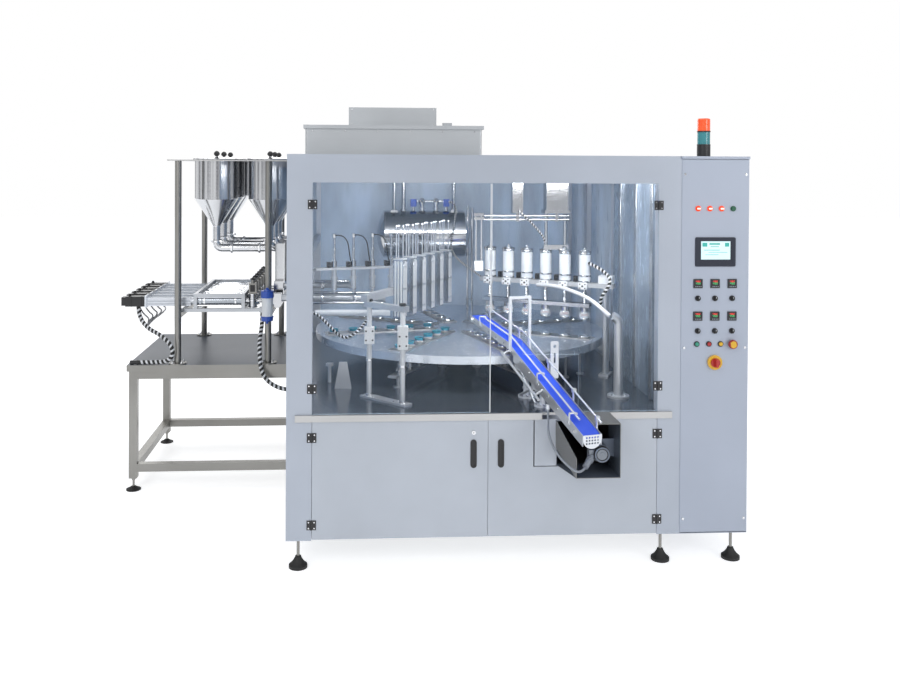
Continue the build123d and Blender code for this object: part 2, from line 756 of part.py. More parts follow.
def belt_outline(reach):
    # The loop's outline at a distance from the roller centres
    bend_z = lane_bend_height - belt_thickness - inner_r
    flat = atan2(bend_z - tail_z, lane_bend - tail_r)
    steep = atan2(nose_z - bend_z, nose_r - lane_bend)
    middle = (flat + steep) / 2
    a = (tail_r - sin(flat) * reach, tail_z + cos(flat) * reach)
    b = (lane_bend - sin(middle) * reach, bend_z + cos(middle) * reach)
    c = (nose_r - sin(steep) * reach, nose_z + cos(steep) * reach)
    d = (nose_r + cos(steep) * reach, nose_z + sin(steep) * reach)
    e = (nose_r + sin(steep) * reach, nose_z - cos(steep) * reach)
    f = (lane_bend + sin(middle) * reach, bend_z - cos(middle) * reach)
    g = (tail_r + sin(flat) * reach, tail_z - cos(flat) * reach)
    h = (tail_r - cos(flat) * reach, tail_z - sin(flat) * reach)
    Polyline(a, b, c)
    ThreePointArc(c, d, e)
    Polyline(e, f, g)
    ThreePointArc(g, h, a)


with BuildPart() as conveyor_belt:
    with BuildSketch(lane_plane):
        with BuildLine():
            belt_outline(outer_r)
        make_face()
        with BuildLine():
            belt_outline(inner_r)
        make_face(mode=Mode.SUBTRACT)
    extrude(amount=belt_width / 2, both=True)
keep(conveyor_belt, "conveyor_belt")

# Rollers: one at each end of the loop, their shaft ends held between the side plates
for name, r, z in (("tail_roller", tail_r, tail_z), ("drive_roller", nose_r, nose_z)):
    with BuildPart() as roller:
        with BuildSketch(lane_plane):
            with Locations((r, z)):
                Circle(roller_diameter / 2)
        extrude(amount=belt_width / 2 - 1, both=True)
        with BuildSketch(lane_plane):
            with Locations((r, z)):
                Circle(roller_diameter / 4)
        extrude(amount=plate_side - running_gap, both=True)
    keep(roller, name)

# Lane supports: two posts with foot flanges, the end scoop with its holes, an arch and a sensor bracket
support_radii = (lane_deep_start + 60, lane_deep_start + 260)
pad_half = 30
sensor_plate = 46
arch_radius = 940
arch_rise = 285
arch_bar = 14
with BuildPart() as lane_fittings:
    lane_rod(rod_side, rod_rise, lane_start + 30, lane_end + 6)
    lane_rod(inner_rod_side, inner_rod_rise, lane_start + 120, lane_end - 70)
    for radius in stem_radii:
        with BuildSketch(lane_plane.offset(-plate_side - lane_plate)):
            with Locations((radius, lane_height(radius) + rod_rise / 2 - 10)):
                Rectangle(14, rod_rise + 20)
        extrude(amount=-3)
    for radius in (lane_start + 150, lane_deep_start + 300, lane_end - 110):
        with BuildSketch(lane_plane.offset(plate_side + lane_plate)):
            with Locations((radius, lane_height(radius) + 6)):
                Rectangle(12, inner_rod_rise + 28)
        extrude(amount=3)
        with BuildSketch(lane_plane.offset(plate_side + lane_plate)):
            with Locations((radius, lane_height(radius) + inner_rod_rise + 10)):
                Rectangle(12, 6)
        extrude(amount=-(plate_side + lane_plate + inner_rod_side))
    for radius in support_radii:
        x, y, z = lane_point(radius, 0)
        pad_bottom = lane_bottom(radius + pad_half) - 8
        upright(x, y, deck_height + 10, pad_bottom, 32)
        upright(x, y, deck_height, deck_height + 10, 90)
        with BuildSketch(lane_plane):
            with BuildLine():
                Polyline((radius - pad_half, lane_bottom(radius - pad_half)),
                         (radius + pad_half, lane_bottom(radius + pad_half)),
                         (radius + pad_half, pad_bottom), (radius - pad_half, pad_bottom),
                         close=True)
            make_face()
        extrude(amount=scoop_half, both=True)
    scoop_plane = Plane(origin=at(*lane_point(scoop_r, 0)), x_dir=(cos(lane), sin(lane), 0),
                        z_dir=(sin(lane), -cos(lane), 0))
    with BuildSketch(scoop_plane):
        with BuildLine():
            Line((-scoop_half, 4), (scoop_half, 4))
            Line((scoop_half, 4), (scoop_half, -10))
            ThreePointArc((scoop_half, -10), (0, -10 - scoop_half), (-scoop_half, -10))
            Line((-scoop_half, -10), (-scoop_half, 4))
        make_face()
        with GridLocations(15, 14, 5, 3):
            with Locations((0, -22)):
                Circle(4.5, mode=Mode.SUBTRACT)
    extrude(amount=sheet)
    arch_side = scoop_half + arch_bar / 2 + 1
    for side in (-arch_side, arch_side):
        x, y, z = lane_point(arch_radius, side)
        with BuildSketch(Plane(origin=at(x, y, z - 20))):
            Rectangle(arch_bar, arch_bar, rotation=lane_angle)
        extrude(amount=arch_rise + 20)
    x, y, z = lane_point(arch_radius, 0, arch_rise - arch_bar)
    with BuildSketch(Plane(origin=at(x, y, z))):
        Rectangle(2 * arch_side, arch_bar, rotation=lane_angle)
    extrude(amount=arch_bar)
    bracket_side = rod_side + sensor_plate / 2 + guide_diameter / 2 - 1
    bracket_x, bracket_y, bracket_z = lane_point(lane_deep_start + 230, bracket_side)
    bracket_plane = Plane(origin=at(bracket_x, bracket_y, bracket_z - 40), x_dir=(cos(lane), sin(lane), 0),
                          z_dir=(sin(lane), -cos(lane), 0))
    with BuildSketch(bracket_plane):
        RectangleRounded(sensor_plate, 200, 8, align=(Align.CENTER, Align.MIN))
        with Locations((0, 172)):
            Circle(9, mode=Mode.SUBTRACT)
        with Locations((0, 110)):
            SlotOverall(56, 12, rotation=90, mode=Mode.SUBTRACT)
    extrude(amount=6)
    holder_x, holder_y = lane_point(holder_radius, -plate_side - lane_plate / 2)[:2]
    holder_z = lane_bottom(holder_radius)
    upright(holder_x, holder_y, holder_z - holder_drop, holder_z - 3.3, 20)
keep(lane_fittings, "lane_fittings")

# Drive housing: a sheet box on the front whose left wall runs beside the lane
box_floor = deck_height - box_height
wall_shift = box_depth * tan(lane)
lane_edge = lane_point(disc_y / cos(lane), scoop_half + 16)[0]
level = Plane(origin=at(0, 0))
with BuildPart() as drive_housing:
    block(box_right - sheet, box_right, -box_depth, 0, box_floor, deck_height - sheet)
    with BuildSketch(level.offset(box_floor)):
        with BuildLine():
            Polyline((box_left + 2, 0), (box_right - sheet, 0), (box_right - sheet, -box_depth),
                     (box_left + 2 + wall_shift, -box_depth), close=True)
        make_face()
    extrude(amount=sheet)
    with BuildSketch(level.offset(deck_height - sheet)):
        with BuildLine():
            Polyline((lane_edge, 0), (box_right, 0), (box_right, -box_depth),
                     (lane_edge + wall_shift, -box_depth), close=True)
        make_face()
    extrude(amount=sheet)
    wall_dir = Vector(wall_shift, -box_depth, 0)
    wall_plane = Plane(origin=at(box_left, 0), x_dir=wall_dir.normalized(), z_dir=(-cos(lane), -sin(lane), 0))
    with BuildSketch(wall_plane):
        with BuildLine():
            Polyline((1, deck_height - 38), (wall_dir.length, box_floor + 100),
                     (wall_dir.length, box_floor + 1), (1, box_floor + 90), close=True)
        make_face()
    extrude(amount=-sheet)
    block(swing_cut + 5, box_left + 6, -sheet, 0, box_floor - 5, band_bottom)
keep(drive_housing, "drive_housing")

# Conveyor motor: a finned can with an end ring and a slanted cable connector
motor_x = box_right - sheet - 78
motor_z = box_floor + 102
motor_face = -box_depth + 52
connector_length = 76
connector_foot = (motor_x - motor_diameter / 2 - 6, motor_face + 10, motor_z - 14)
connector_run = Vector(-0.60, -0.65, -0.46).normalized()
connector_tip = Vector(*connector_foot) + connector_run * connector_length
with BuildPart() as conveyor_motor:
    facing(motor_x, motor_face + motor_length, motor_z, motor_length, motor_diameter)
    facing(motor_x, motor_face, motor_z, 8, motor_diameter - 6)
    facing(motor_x, motor_face - 7, motor_z, 2, motor_diameter - 26, mode=Mode.SUBTRACT)
    block(motor_x, box_right - sheet - weld_gap, motor_face + 60, motor_face + 66, motor_z - 30, motor_z + 60)
    block(motor_x - motor_diameter / 2 - 20, motor_x - motor_diameter / 2 + 6, motor_face + 8, motor_face + 52,
          motor_z - 30, motor_z + 20)
    with BuildSketch(Plane(origin=at(*connector_foot), z_dir=connector_run)):
        Circle(15)
    extrude(amount=connector_length)
    with BuildSketch(Plane(origin=at(*(Vector(*connector_foot) + connector_run * 18)), z_dir=connector_run)):
        Circle(19)
    extrude(amount=14)
keep(conveyor_motor, "conveyor_motor")

# Sealing station: twin beam strips along its row, two posts, six clear tubes and the lift gantry
seal_out = disc_radius + 45
beam_start = cup_radii[0] - 60
beam_end = seal_out + 50
strip_width = 18
strip_side = 13 + strip_width / 2
tube_bottom = seal_beam_height + seal_beam_depth + weld_gap
tube_top = tube_bottom + tube_height
gantry_x, gantry_y = polar((cup_radii[3] + cup_radii[4]) / 2, seal_angle)
gantry_bottom = 1740
duct_x = gantry_x - 245
with BuildPart() as seal_station:
    for side in (-1, 1):
        with BuildSketch(station_plane(seal_angle, seal_beam_height)):
            with Locations(((beam_start + beam_end) / 2, side * strip_side)):
                Rectangle(beam_end - beam_start, strip_width)
        extrude(amount=seal_beam_depth)
        with BuildSketch(station_plane(seal_angle, deck_height + 12)):
            with Locations((seal_out, side * strip_side)):
                Circle(14)
        extrude(amount=seal_beam_height - weld_gap - deck_height - 12)
    with BuildSketch(station_plane(seal_angle, deck_height)):
        with Locations((seal_out, 0)):
            Rectangle(60, 110)
    extrude(amount=12)
    for radius in cup_radii:
        with BuildSketch(station_plane(seal_angle, tube_bottom)):
            with Locations((radius, 0)):
                Circle(tube_diameter / 2)
                Circle(tube_diameter / 2 - 4, mode=Mode.SUBTRACT)
        extrude(amount=tube_height)
        with BuildSketch(station_plane(seal_angle, tube_top)):
            with Locations((radius, 0)):
                Circle(tube_diameter / 2 + 4)
        extrude(amount=10)
        with BuildSketch(station_plane(seal_angle, seal_beam_height - 14)):
            with Locations((radius, 0)):
                Circle(seal_rod / 2 + 8)
                Circle(seal_rod / 2 + running_gap, mode=Mode.SUBTRACT)
        extrude(amount=14)
    block(gantry_x - 68, gantry_x + 68, gantry_y - 50, gantry_y + 50, gantry_bottom + 60, frame_top)
    block(gantry_x - 80, gantry_x + 80, gantry_y - 60, gantry_y + 60, gantry_bottom + 40, gantry_bottom + 60)
    block(duct_x - 33, duct_x + 33, gantry_y - 33, gantry_y + 33, gantry_bottom + 40, frame_top)
    for dx in (-60, 60):
        upright(gantry_x + dx, gantry_y, tube_top + 40 + weld_gap, gantry_bottom + 40 - weld_gap, 22)
    block(gantry_x - 78, gantry_x + 78, gantry_y - 16, gantry_y + 16, tube_top + 10 + weld_gap, tube_top + 40)
    for z in (gantry_bottom, gantry_bottom + 24):
        across(duct_x - 240, gantry_y - 24, z, gantry_x - duct_x + 320, 14)
    for x in (duct_x, gantry_x):
        block(x - 10, x + 10, gantry_y - 32, gantry_y - 16, gantry_bottom - 12,
              gantry_bottom + 40 - weld_gap)
keep(seal_station, "seal_station")

# Sealing heads: six rods with collared heads, joined by two lifting bars below the beam
with BuildPart() as seal_heads:
    rod_top = seal_beam_height + seal_beam_depth - 2 - head_height
    for radius in cup_radii:
        for z, height, size in ((0, 22, 58), (22, 14, 44), (36, 34, 52), (70, rod_top - 70, seal_rod)):
            with BuildSketch(station_plane(seal_angle, head_height + z)):
                with Locations((radius, 0)):
                    Circle(size / 2)
            extrude(amount=height)
    for side in (-1, 1):
        with BuildSketch(station_plane(seal_angle, head_height + 76)):
            with Locations((row_middle, side * strip_side)):
                Rectangle(row_length - 20, 28)
        extrude(amount=22)
keep(seal_heads, "seal_heads")

# Lid magazine: six white columns with lid rods over their row, on an arm from the front stand
stand_posts = ((424, 348), (600, 176))
arm_height = 1326
with BuildPart() as lid_magazine:
    for radius in cup_radii:
        with BuildSketch(station_plane(magazine_angle, magazine_bottom)):
            with Locations((radius, 0)):
                Rectangle(46, 62)
            with Locations((radius, 24)):
                Rectangle(14, 18, mode=Mode.SUBTRACT)
        extrude(amount=magazine_top - magazine_bottom)
        for turn in (90, 210, 330):
            with BuildSketch(station_plane(magazine_angle, magazine_top)):
                with Locations((radius + 16 * cos(radians(turn)), 24 * sin(radians(turn)) - 6)):
                    Circle(4)
            extrude(amount=magazine_rod_top - magazine_top)
    arm_out = 1142
    with BuildSketch(station_plane(magazine_angle, arm_height)):
        with Locations(((cup_radii[0] + arm_out) / 2, -31 - 20 - weld_gap)):
            Rectangle(arm_out - cup_radii[0] + 60, 40)
    extrude(amount=40)
keep(lid_magazine, "lid_magazine")

# Front stand: two posts on a base plate, a top beam, split clamps round the posts and a cup trough
stand_run = Vector(stand_posts[1][0] - stand_posts[0][0], stand_posts[1][1] - stand_posts[0][1], 0)
stand_turn = degrees(atan2(stand_run.Y, stand_run.X))
stand_centre = ((stand_posts[0][0] + stand_posts[1][0]) / 2, (stand_posts[0][1] + stand_posts[1][1]) / 2)
beam_level = arm_height - 30
trough_left = 100
trough_length = 455
trough_y = 880
trough_z = 1190
trough_radius = 32
clamp_levels = (1096, 1098)
clamp_heights = (90, 122)
with BuildPart() as front_stand:
    for z, length, width, height in ((deck_height, 330, 60, 10), (beam_level, 300, 40, 30)):
        with BuildSketch(Plane(origin=at(*stand_centre, z))):
            Rectangle(length, width, rotation=stand_turn)
        extrude(amount=height)
    for x, y in stand_posts:
        upright(x, y, deck_height + 10, beam_level - weld_gap, 28)
    for (x, y), z, height in zip(stand_posts, clamp_levels, clamp_heights):
        with BuildSketch(Plane(origin=at(x, y, z))):
            RectangleRounded(56, 46, 6)
            Circle(14 + running_gap, mode=Mode.SUBTRACT)
        extrude(amount=height)
    arm_x, arm_y = stand_posts[0]
    block(arm_x - 10, arm_x + 10, arm_y + 20, trough_y - trough_radius + 4, trough_z - 20, trough_z - 8)
    with BuildSketch(Plane(origin=at(trough_left, trough_y, trough_z), x_dir=(0, 1, 0), z_dir=(1, 0, 0))):
        Circle(trough_radius)
        Circle(trough_radius - 3, mode=Mode.SUBTRACT)
        with Locations((0, trough_radius)):
            Rectangle(2 * trough_radius, 2 * trough_radius, mode=Mode.SUBTRACT)
    extrude(amount=trough_length)
keep(front_stand, "front_stand")

# Nozzle bank: six filling valves with risers on a beam that reaches the left frame
nozzle_beam = nozzle_bottom + 150
beam_end = polar(disc_radius + 20, nozzle_angle)
with BuildPart() as nozzle_bank:
    with BuildSketch(station_plane(nozzle_angle, nozzle_beam)):
        with Locations(((cup_radii[0] - 50 + disc_radius + 30) / 2, 0)):
            Rectangle(disc_radius + 80 - cup_radii[0], 64)
    extrude(amount=14)
    block(post, post + 14, side_bay_front, side_bay_front + post, nozzle_beam - 60, nozzle_beam)
    for radius in cup_radii:
        for z, height, size in ((nozzle_bottom, 20, 18), (nozzle_bottom + 20, 70, 34),
                                (nozzle_bottom + 90, 12, 46),
                                (nozzle_bottom + 102, nozzle_beam - nozzle_bottom - 102, 30),
                                (nozzle_beam + 14, 40, 36),
                                (nozzle_beam + 54, nozzle_top - nozzle_beam - 54, 16)):
            with BuildSketch(station_plane(nozzle_angle, z)):
                with Locations((radius, 0)):
                    Circle(size / 2)
            extrude(amount=height)
keep(nozzle_bank, "nozzle_bank")

# Product tubes: two steel tubes from the dosing valves and a white chute above the disc
tube_starts = header_x + tube_block
with BuildPart() as product_tubes:
    across(tube_starts, long_tube_y, long_tube_z, 520 - tube_starts, 45)
    across(tube_starts, dosing_front, short_tube_z, 300 - tube_starts, 34)
    across(518, long_tube_y, long_tube_z, 16, 64)
    across(298, dosing_front, short_tube_z, 14, 50)
keep(product_tubes, "product_tubes")

# Holding tank: a lying cylinder with dished ends, hung from the roof, with a vent pipe and valves
dish = 50
tank_radius = tank_diameter / 2
dish_radius = (tank_radius ** 2 + dish ** 2) / (2 * dish)
dish_middle = dish_radius - (dish_radius ** 2 - tank_radius ** 2 / 4) ** 0.5
tank_top = tank_middle_height + tank_radius
vent_place = -147
with BuildPart() as holding_tank:
    with BuildSketch(facing_plane(tank_x - tank_length / 2, tank_y, tank_middle_height)):
        with BuildLine():
            Line((0, 0), (tank_length, 0))
            ThreePointArc((tank_length, 0), (tank_length - dish_middle, tank_radius / 2),
                          (tank_length - dish, tank_radius))
            Line((tank_length - dish, tank_radius), (dish, tank_radius))
            ThreePointArc((dish, tank_radius), (dish_middle, tank_radius / 2), (0, 0))
        make_face()
    revolve(axis=Axis(at(tank_x, tank_y, tank_middle_height), (1, 0, 0)))
    for dx in (-tank_length * 0.32, tank_length * 0.32):
        block(tank_x + dx - 25, tank_x + dx + 25, tank_y - 60, tank_y + 60, tank_top - 12, tank_top + 6)
        for dy in (-40, 40):
            upright(tank_x + dx, tank_y + dy, tank_top + 6 + weld_gap, frame_top, 20)
    upright(tank_x + vent_place, tank_y, tank_top - 3, tank_top + 10, 50)
    upright(tank_x + vent_place, tank_y, tank_top + 10 + weld_gap, frame_top, 30)
    for dx in (-12, 90):
        upright(tank_x + dx, tank_y, tank_top - 3, tank_top + 50, 30)
        upright(tank_x + dx, tank_y, tank_top + 50, tank_top + 62, 46)
    for dx in (-75, 165):
        upright(tank_x + dx, tank_y, tank_top - 3, tank_top + 30, 24)
        block(tank_x + dx - 22, tank_x + dx + 22, tank_y - 22, tank_y + 22, tank_top + 30, tank_top + 84)
keep(holding_tank, "holding_tank")

# Deck fixtures: a tapered bracket, a ringed post, a bent riser and the rods under the disc
with BuildPart() as deck_fixtures:
    with BuildSketch(facing_plane(278, 554, deck_height)):
        with BuildLine():
            Polyline((-48, 0), (48, 0), (22, 150), (-22, 150), close=True)
        make_face()
    extrude(amount=16)
    upright(196, 700, deck_height, deck_height + 96, 20)
    upright(196, 700, deck_height + 96, deck_height + 110, 44)
    riser_x, riser_y = 1797, 293
    upright(riser_x, riser_y, deck_height, deck_height + 12, 120)
    upright(riser_x, riser_y, deck_height + 12, 1200, 50)
    with BuildSketch(Plane(origin=at(riser_x, riser_y, 1200))):
        Circle(25)
    bend_axis = Axis(at(riser_x - 50, riser_y, 1200), (0, -1, 0))
    revolve(axis=bend_axis, revolution_arc=70)
    for x, y in ((1500, 700), (1610, 760), (1720, 850)):
        upright(x, y, deck_height, deck_height + 8, 44)
        upright(x, y, deck_height + 8, disc_top - skirt_height - 12, 14)
keep(deck_fixtures, "deck_fixtures")

# Dosing table: square tube legs with stretchers and an apron under a folded top
leg_top = deck_height - table_sheet
with BuildPart() as dosing_table:
    for x0, x1 in (leg_left, leg_right):
        for y0, y1 in (leg_front, leg_back):
            block(x0, x1, y0, y1, leg_bottom, leg_top)
        for z in (stretcher_height, leg_top - table_leg):
            member(x0, x1, leg_front[1], leg_back[0], z, z + table_leg - weld_gap, "y")
    for y0, y1 in (leg_front, leg_back):
        for z in (stretcher_height, leg_top - table_leg):
            member(leg_left[1], leg_right[0], y0, y1, z, z + table_leg - weld_gap, "x")
    block(-table_left, table_right, table_front, table_back, leg_top + weld_gap, deck_height)
keep(dosing_table, "dosing_table")

# Hopper stand: four round posts, a holed top plate and two rails for the dosing unit
hopper_rows = [(stand_front + stand_back) / 2 + hopper_pitch * i for i in (-1, 0, 1)]
hopper_places = [(-column, row) for column in hopper_columns for row in hopper_rows]
plate_thickness = 8
rail_level = 1090
with BuildPart() as hopper_stand:
    for x in (-stand_left, -stand_right):
        for y in (stand_front, stand_back):
            upright(x, y, deck_height, deck_height + 8, 110)
            upright(x, y, deck_height + 8, stand_top - weld_gap, stand_post)
        member(x - 15, x + 15, stand_front + stand_post / 2, stand_back - stand_post / 2,
               rail_level, rail_level + 30, "y")
    with BuildSketch(Plane(origin=at(0, 0, stand_top))):
        with Locations((-(stand_left + stand_right) / 2 + 40, (stand_front + stand_back) / 2)):
            RectangleRounded(stand_left - stand_right + 210, stand_back - stand_front + 70, 10)
        with Locations(hopper_places):
            Circle(hopper_diameter / 2 + running_gap, mode=Mode.SUBTRACT)
    extrude(amount=plate_thickness)
keep(hopper_stand, "hopper_stand")

# Hoppers: round bowls with a flange, a cone and an outlet, turned from one section
flange_z = stand_top + plate_thickness
cylinder_bottom = flange_z - hopper_cylinder
cone_bottom = cylinder_bottom - hopper_cone
outlet_end = cone_bottom - 90
bowl_radius = hopper_diameter / 2
outlet_radius = outlet_diameter / 2
with BuildPart() as hoppers:
    for x, y in hopper_places:
        with BuildSketch(facing_plane(x, y)):
            with BuildLine():
                Polyline((bowl_radius - hopper_wall, flange_z + 4), (bowl_radius + 12, flange_z + 4),
                         (bowl_radius + 12, flange_z), (bowl_radius, flange_z), (bowl_radius, cylinder_bottom),
                         (outlet_radius, cone_bottom), (outlet_radius, outlet_end),
                         (outlet_radius - hopper_wall, outlet_end), (outlet_radius - hopper_wall, cone_bottom),
                         (bowl_radius - hopper_wall, cylinder_bottom), close=True)
            make_face()
        revolve(axis=Axis(at(x, y), (0, 0, 1)))
keep(hoppers, "hoppers")

# Hopper lids: shallow domes with a round knob
for index, (x, y) in enumerate(hopper_places):
    with BuildPart() as hopper_lid:
        lid_z = flange_z + 4 + running_gap
        with BuildSketch(facing_plane(x, y)):
            with BuildLine():
                Polyline((0, lid_z), (bowl_radius + 10, lid_z), (bowl_radius + 10, lid_z + 5),
                         (20, lid_z + 16), (9, lid_z + 16), (9, lid_z + 24), (19, lid_z + 30),
                         (19, lid_z + 40), (0, lid_z + 42), close=True)
            make_face()
        revolve(axis=Axis(at(x, y), (0, 0, 1)))
    keep(hopper_lid, f"hopper_lid_{index + 1}")

# Outlet pipes: a clamp and an elbow under every hopper, and a header for each row
run_z = outlet_end - 16 - elbow_radius
with BuildPart() as hopper_pipes:
    for index, (x, y) in enumerate(hopper_places):
        upright(x, y, outlet_end - 16, outlet_end, outlet_diameter + 22)
        with BuildSketch(Plane(origin=at(x, y, outlet_end - 16))):
            Circle(outlet_radius)
        revolve(axis=Axis(at(x + elbow_radius, y, outlet_end - 16), (0, -1, 0)), revolution_arc=90)
    for y in hopper_rows:
        start = -hopper_columns[0] + elbow_radius
        across(start, y, run_z, -hopper_columns[1] - start, outlet_diameter)
keep(hopper_pipes, "hopper_pipes")

# Dosing unit: a bar frame on the stand's rails with a row of steel cylinders between two plates
dosing_left, dosing_right = -700, -372
servo_rows = [dosing_front + servo_pitch * i for i in range(servo_count)]
dosing_back = servo_rows[-1]
frame_front, frame_back = dosing_front - 50, dosing_back + 50
frame_floor = rail_level + 30
bar = 22
cylinder_size = 58
with BuildPart() as dosing_unit:
    for y in (frame_front, frame_back - bar):
        member(-stand_left - 15, -stand_right + 15, y, y + bar, frame_floor, frame_floor + bar, "z")
        for x in (dosing_left, dosing_right - bar):
            member(x, x + bar, y, y + bar, frame_floor + bar, frame_floor + 96, "z")
        member(dosing_left, dosing_right, y, y + bar, frame_floor + 96, frame_floor + 96 + bar, "z")
    for x in (dosing_left, dosing_right - bar):
        member(x, x + bar, frame_front + bar, frame_back - bar, frame_floor, frame_floor + bar, "y")
        member(x, x + bar, frame_front + bar, frame_back - bar, frame_floor + 96, frame_floor + 96 + bar, "y")
        member(x + 6, x + 14, frame_front + bar, frame_back - bar, frame_floor + bar, frame_floor + 96, "y")
    for y in servo_rows:
        start = dosing_left + 14 + weld_gap
        across(start, y, dosing_height, dosing_right - bar + 6 - weld_gap - start, cylinder_size)
        across(start + 20, y, dosing_height, 12, cylinder_size + 16)
    for x in (-stand_right - 60, ):
        block(x, x + 36, frame_front - 30, frame_front, frame_floor, frame_floor + 34)
keep(dosing_unit, "dosing_unit")

# Dosing drives: a servo motor, a spindle housing and a coupling flange for every cylinder
servo_face = -table_left - servo_reach
spindle_start = servo_face + servo_length
with BuildPart() as dosing_drives:
    for y in servo_rows:
        block(servo_face + 26, spindle_start, y - servo_size / 2, y + servo_size / 2,
              dosing_height - servo_size / 2, dosing_height + servo_size / 2)
        block(servo_face, servo_face + 26, y - servo_size * 0.42, y + servo_size * 0.42,
              dosing_height - servo_size * 0.42, dosing_height + servo_size * 0.42)
        block(spindle_start, spindle_start + 12, y - servo_size * 0.6, y + servo_size * 0.6,
              dosing_height - servo_size * 0.6, dosing_height + servo_size * 0.6)
        block(spindle_start + 12, dosing_left - 22, y - 26, y + 26, dosing_height - 30, dosing_height + 24)
        across(dosing_left - 22, y, dosing_height, 22 + 6 - weld_gap, 46)
keep(dosing_drives, "dosing_drives")

# Valve group: a three-way valve at every cylinder, a header under the hoppers and a water filter
valve_x = (dosing_right - 280) / 2
header_bottom = dosing_height + 80
with BuildPart() as valve_group:
    for y in servo_rows:
        across(dosing_right - 8 + weld_gap, y, dosing_height, valve_x - dosing_right + 8, 34)
        upright(valve_x, y, dosing_height - 40, dosing_height + 48, 54)
        block(valve_x - 24, valve_x + 24, y - 22, y + 22, dosing_height + 48, dosing_height + 116)
        upright(valve_x, y, dosing_height + 116, dosing_height + 136, 24)
    for y in hopper_rows:
        block(header_x - header_half, header_x + header_half, y - 30, y + 30, header_bottom,
              run_z + outlet_radius + 6)
    with Locations(Location(at(header_x, long_tube_y, dosing_height), (-90, 0, 0))):
        Cylinder(30, dosing_back - long_tube_y, align=(Align.CENTER, Align.CENTER, Align.MIN))
    for y, z in ((long_tube_y, long_tube_z), (dosing_front, short_tube_z)):
        block(header_x - tube_block, header_x + tube_block, y - tube_block, y + tube_block,
              dosing_height, z + tube_block)
    for y in servo_rows:
        across(valve_x, y, dosing_height, header_x - valve_x, 26)
    for y in hopper_rows:
        upright(header_x, y, dosing_height, header_bottom, 38)
    filter_x = -stand_right
    filter_y = stand_front - stand_post / 2 - 3 - filter_diameter / 2
    upright(filter_x, filter_y, 1084, 1106, filter_diameter)
    upright(filter_x, filter_y, 1106, 1232, filter_diameter - 8)
    upright(filter_x, filter_y, 1232, 1274, filter_diameter + 4)
    block(filter_x - 18, filter_x + 18, filter_y, stand_front - stand_post / 2 - running_gap, 1244, 1262)
keep(valve_group, "valve_group")


def cable(points, diameter):
    # A round tube along straight runs with an arc at every corner, as large as its runs allow
    corners = [Vector(*p) for p in points]
    radii = []
    for before, here, after in zip(corners, corners[1:], corners[2:]):
        turn = radians((here - before).get_angle(after - here))
        radii.append(0.45 * min((here - before).length, (after - here).length) / tan(turn / 2))
    print("cable radii", [round(r) for r in radii])
    with BuildLine() as route:
        FilletPolyline(*[at(*p) for p in points], radius=radii)
    path = route.wire()
    with BuildSketch(Plane(origin=path @ 0, z_dir=path % 0)) as section:
        Circle(diameter / 2)
    print("cable length", round(path.length), "volume", round(path.length * section.sketch.area))
    return sweep(section.sketch, path=path, mode=Mode.PRIVATE)


# Servo bundle: from the first drive to the stand, down to the table and along its front
servo_bundle_points = [
    (-1060, dosing_front, dosing_height - servo_size / 2 - running_gap), (-1060, dosing_front, 1092),
    (-992, 1272, 1020),
    (-890, 1212, 985), (-818, 1184, 925), (-806, 1176, 862), (-850, 1190, 820), (-935, 1206, 814),
    (-1030, 1203, 814.5),
]
servo_bundle = cable(servo_bundle_points, bundle_diameter)
print("servo bundle volume", round(servo_bundle.volume))

# Valve bundle: from the dosing unit in front of the table and into the cabinet's left side
gland_x = -stand_right - 42
valve_bundle_points = [
    (gland_x, frame_front - 15, frame_floor - running_gap), (gland_x, frame_front - 15, 1040),
    (gland_x - 10, 1205, 960), (gland_x - 4, 1158, 880), (gland_x + 2, 1142, 790), (gland_x + 36, 1138, 712),
    (gland_x + 112, 1140, 660), (gland_x + 205, bundle_entry_y, bundle_entry_z),
    (post - sheet - 30 - running_gap, bundle_entry_y, bundle_entry_z),
]
valve_bundle = cable(valve_bundle_points, bundle_diameter)
print("valve bundle volume", round(valve_bundle.volume))

# Motor conduit: from a holder under the lane down to the conveyor motor's connector
conduit_points = [
    (holder_x, holder_y, holder_z - holder_drop - running_gap), (holder_x, holder_y, holder_z - 78),
    (holder_x - 8, holder_y - 40, holder_z - 140), (holder_x + 12, holder_y - 102, holder_z - 206),
    (holder_x + 52, holder_y - 176, holder_z - 252), tuple(connector_tip + connector_run * 56),
    tuple(connector_tip + connector_run * running_gap),
]
motor_conduit = cable(conduit_points, conduit_diameter)
print("motor conduit volume", round(motor_conduit.volume))
for name, shape in (("servo_bundle", servo_bundle), ("valve_bundle", valve_bundle),
                    ("motor_conduit", motor_conduit)):
    shape.label = name
    nodes[name] = shape

os.makedirs("parts", exist_ok=True)
for name, shape in nodes.items():
    export_step(shape, f"parts/{name}.step")
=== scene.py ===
import bpy
import bmesh
from math import cos, pi, radians, sin
from mathutils import Matrix, Vector


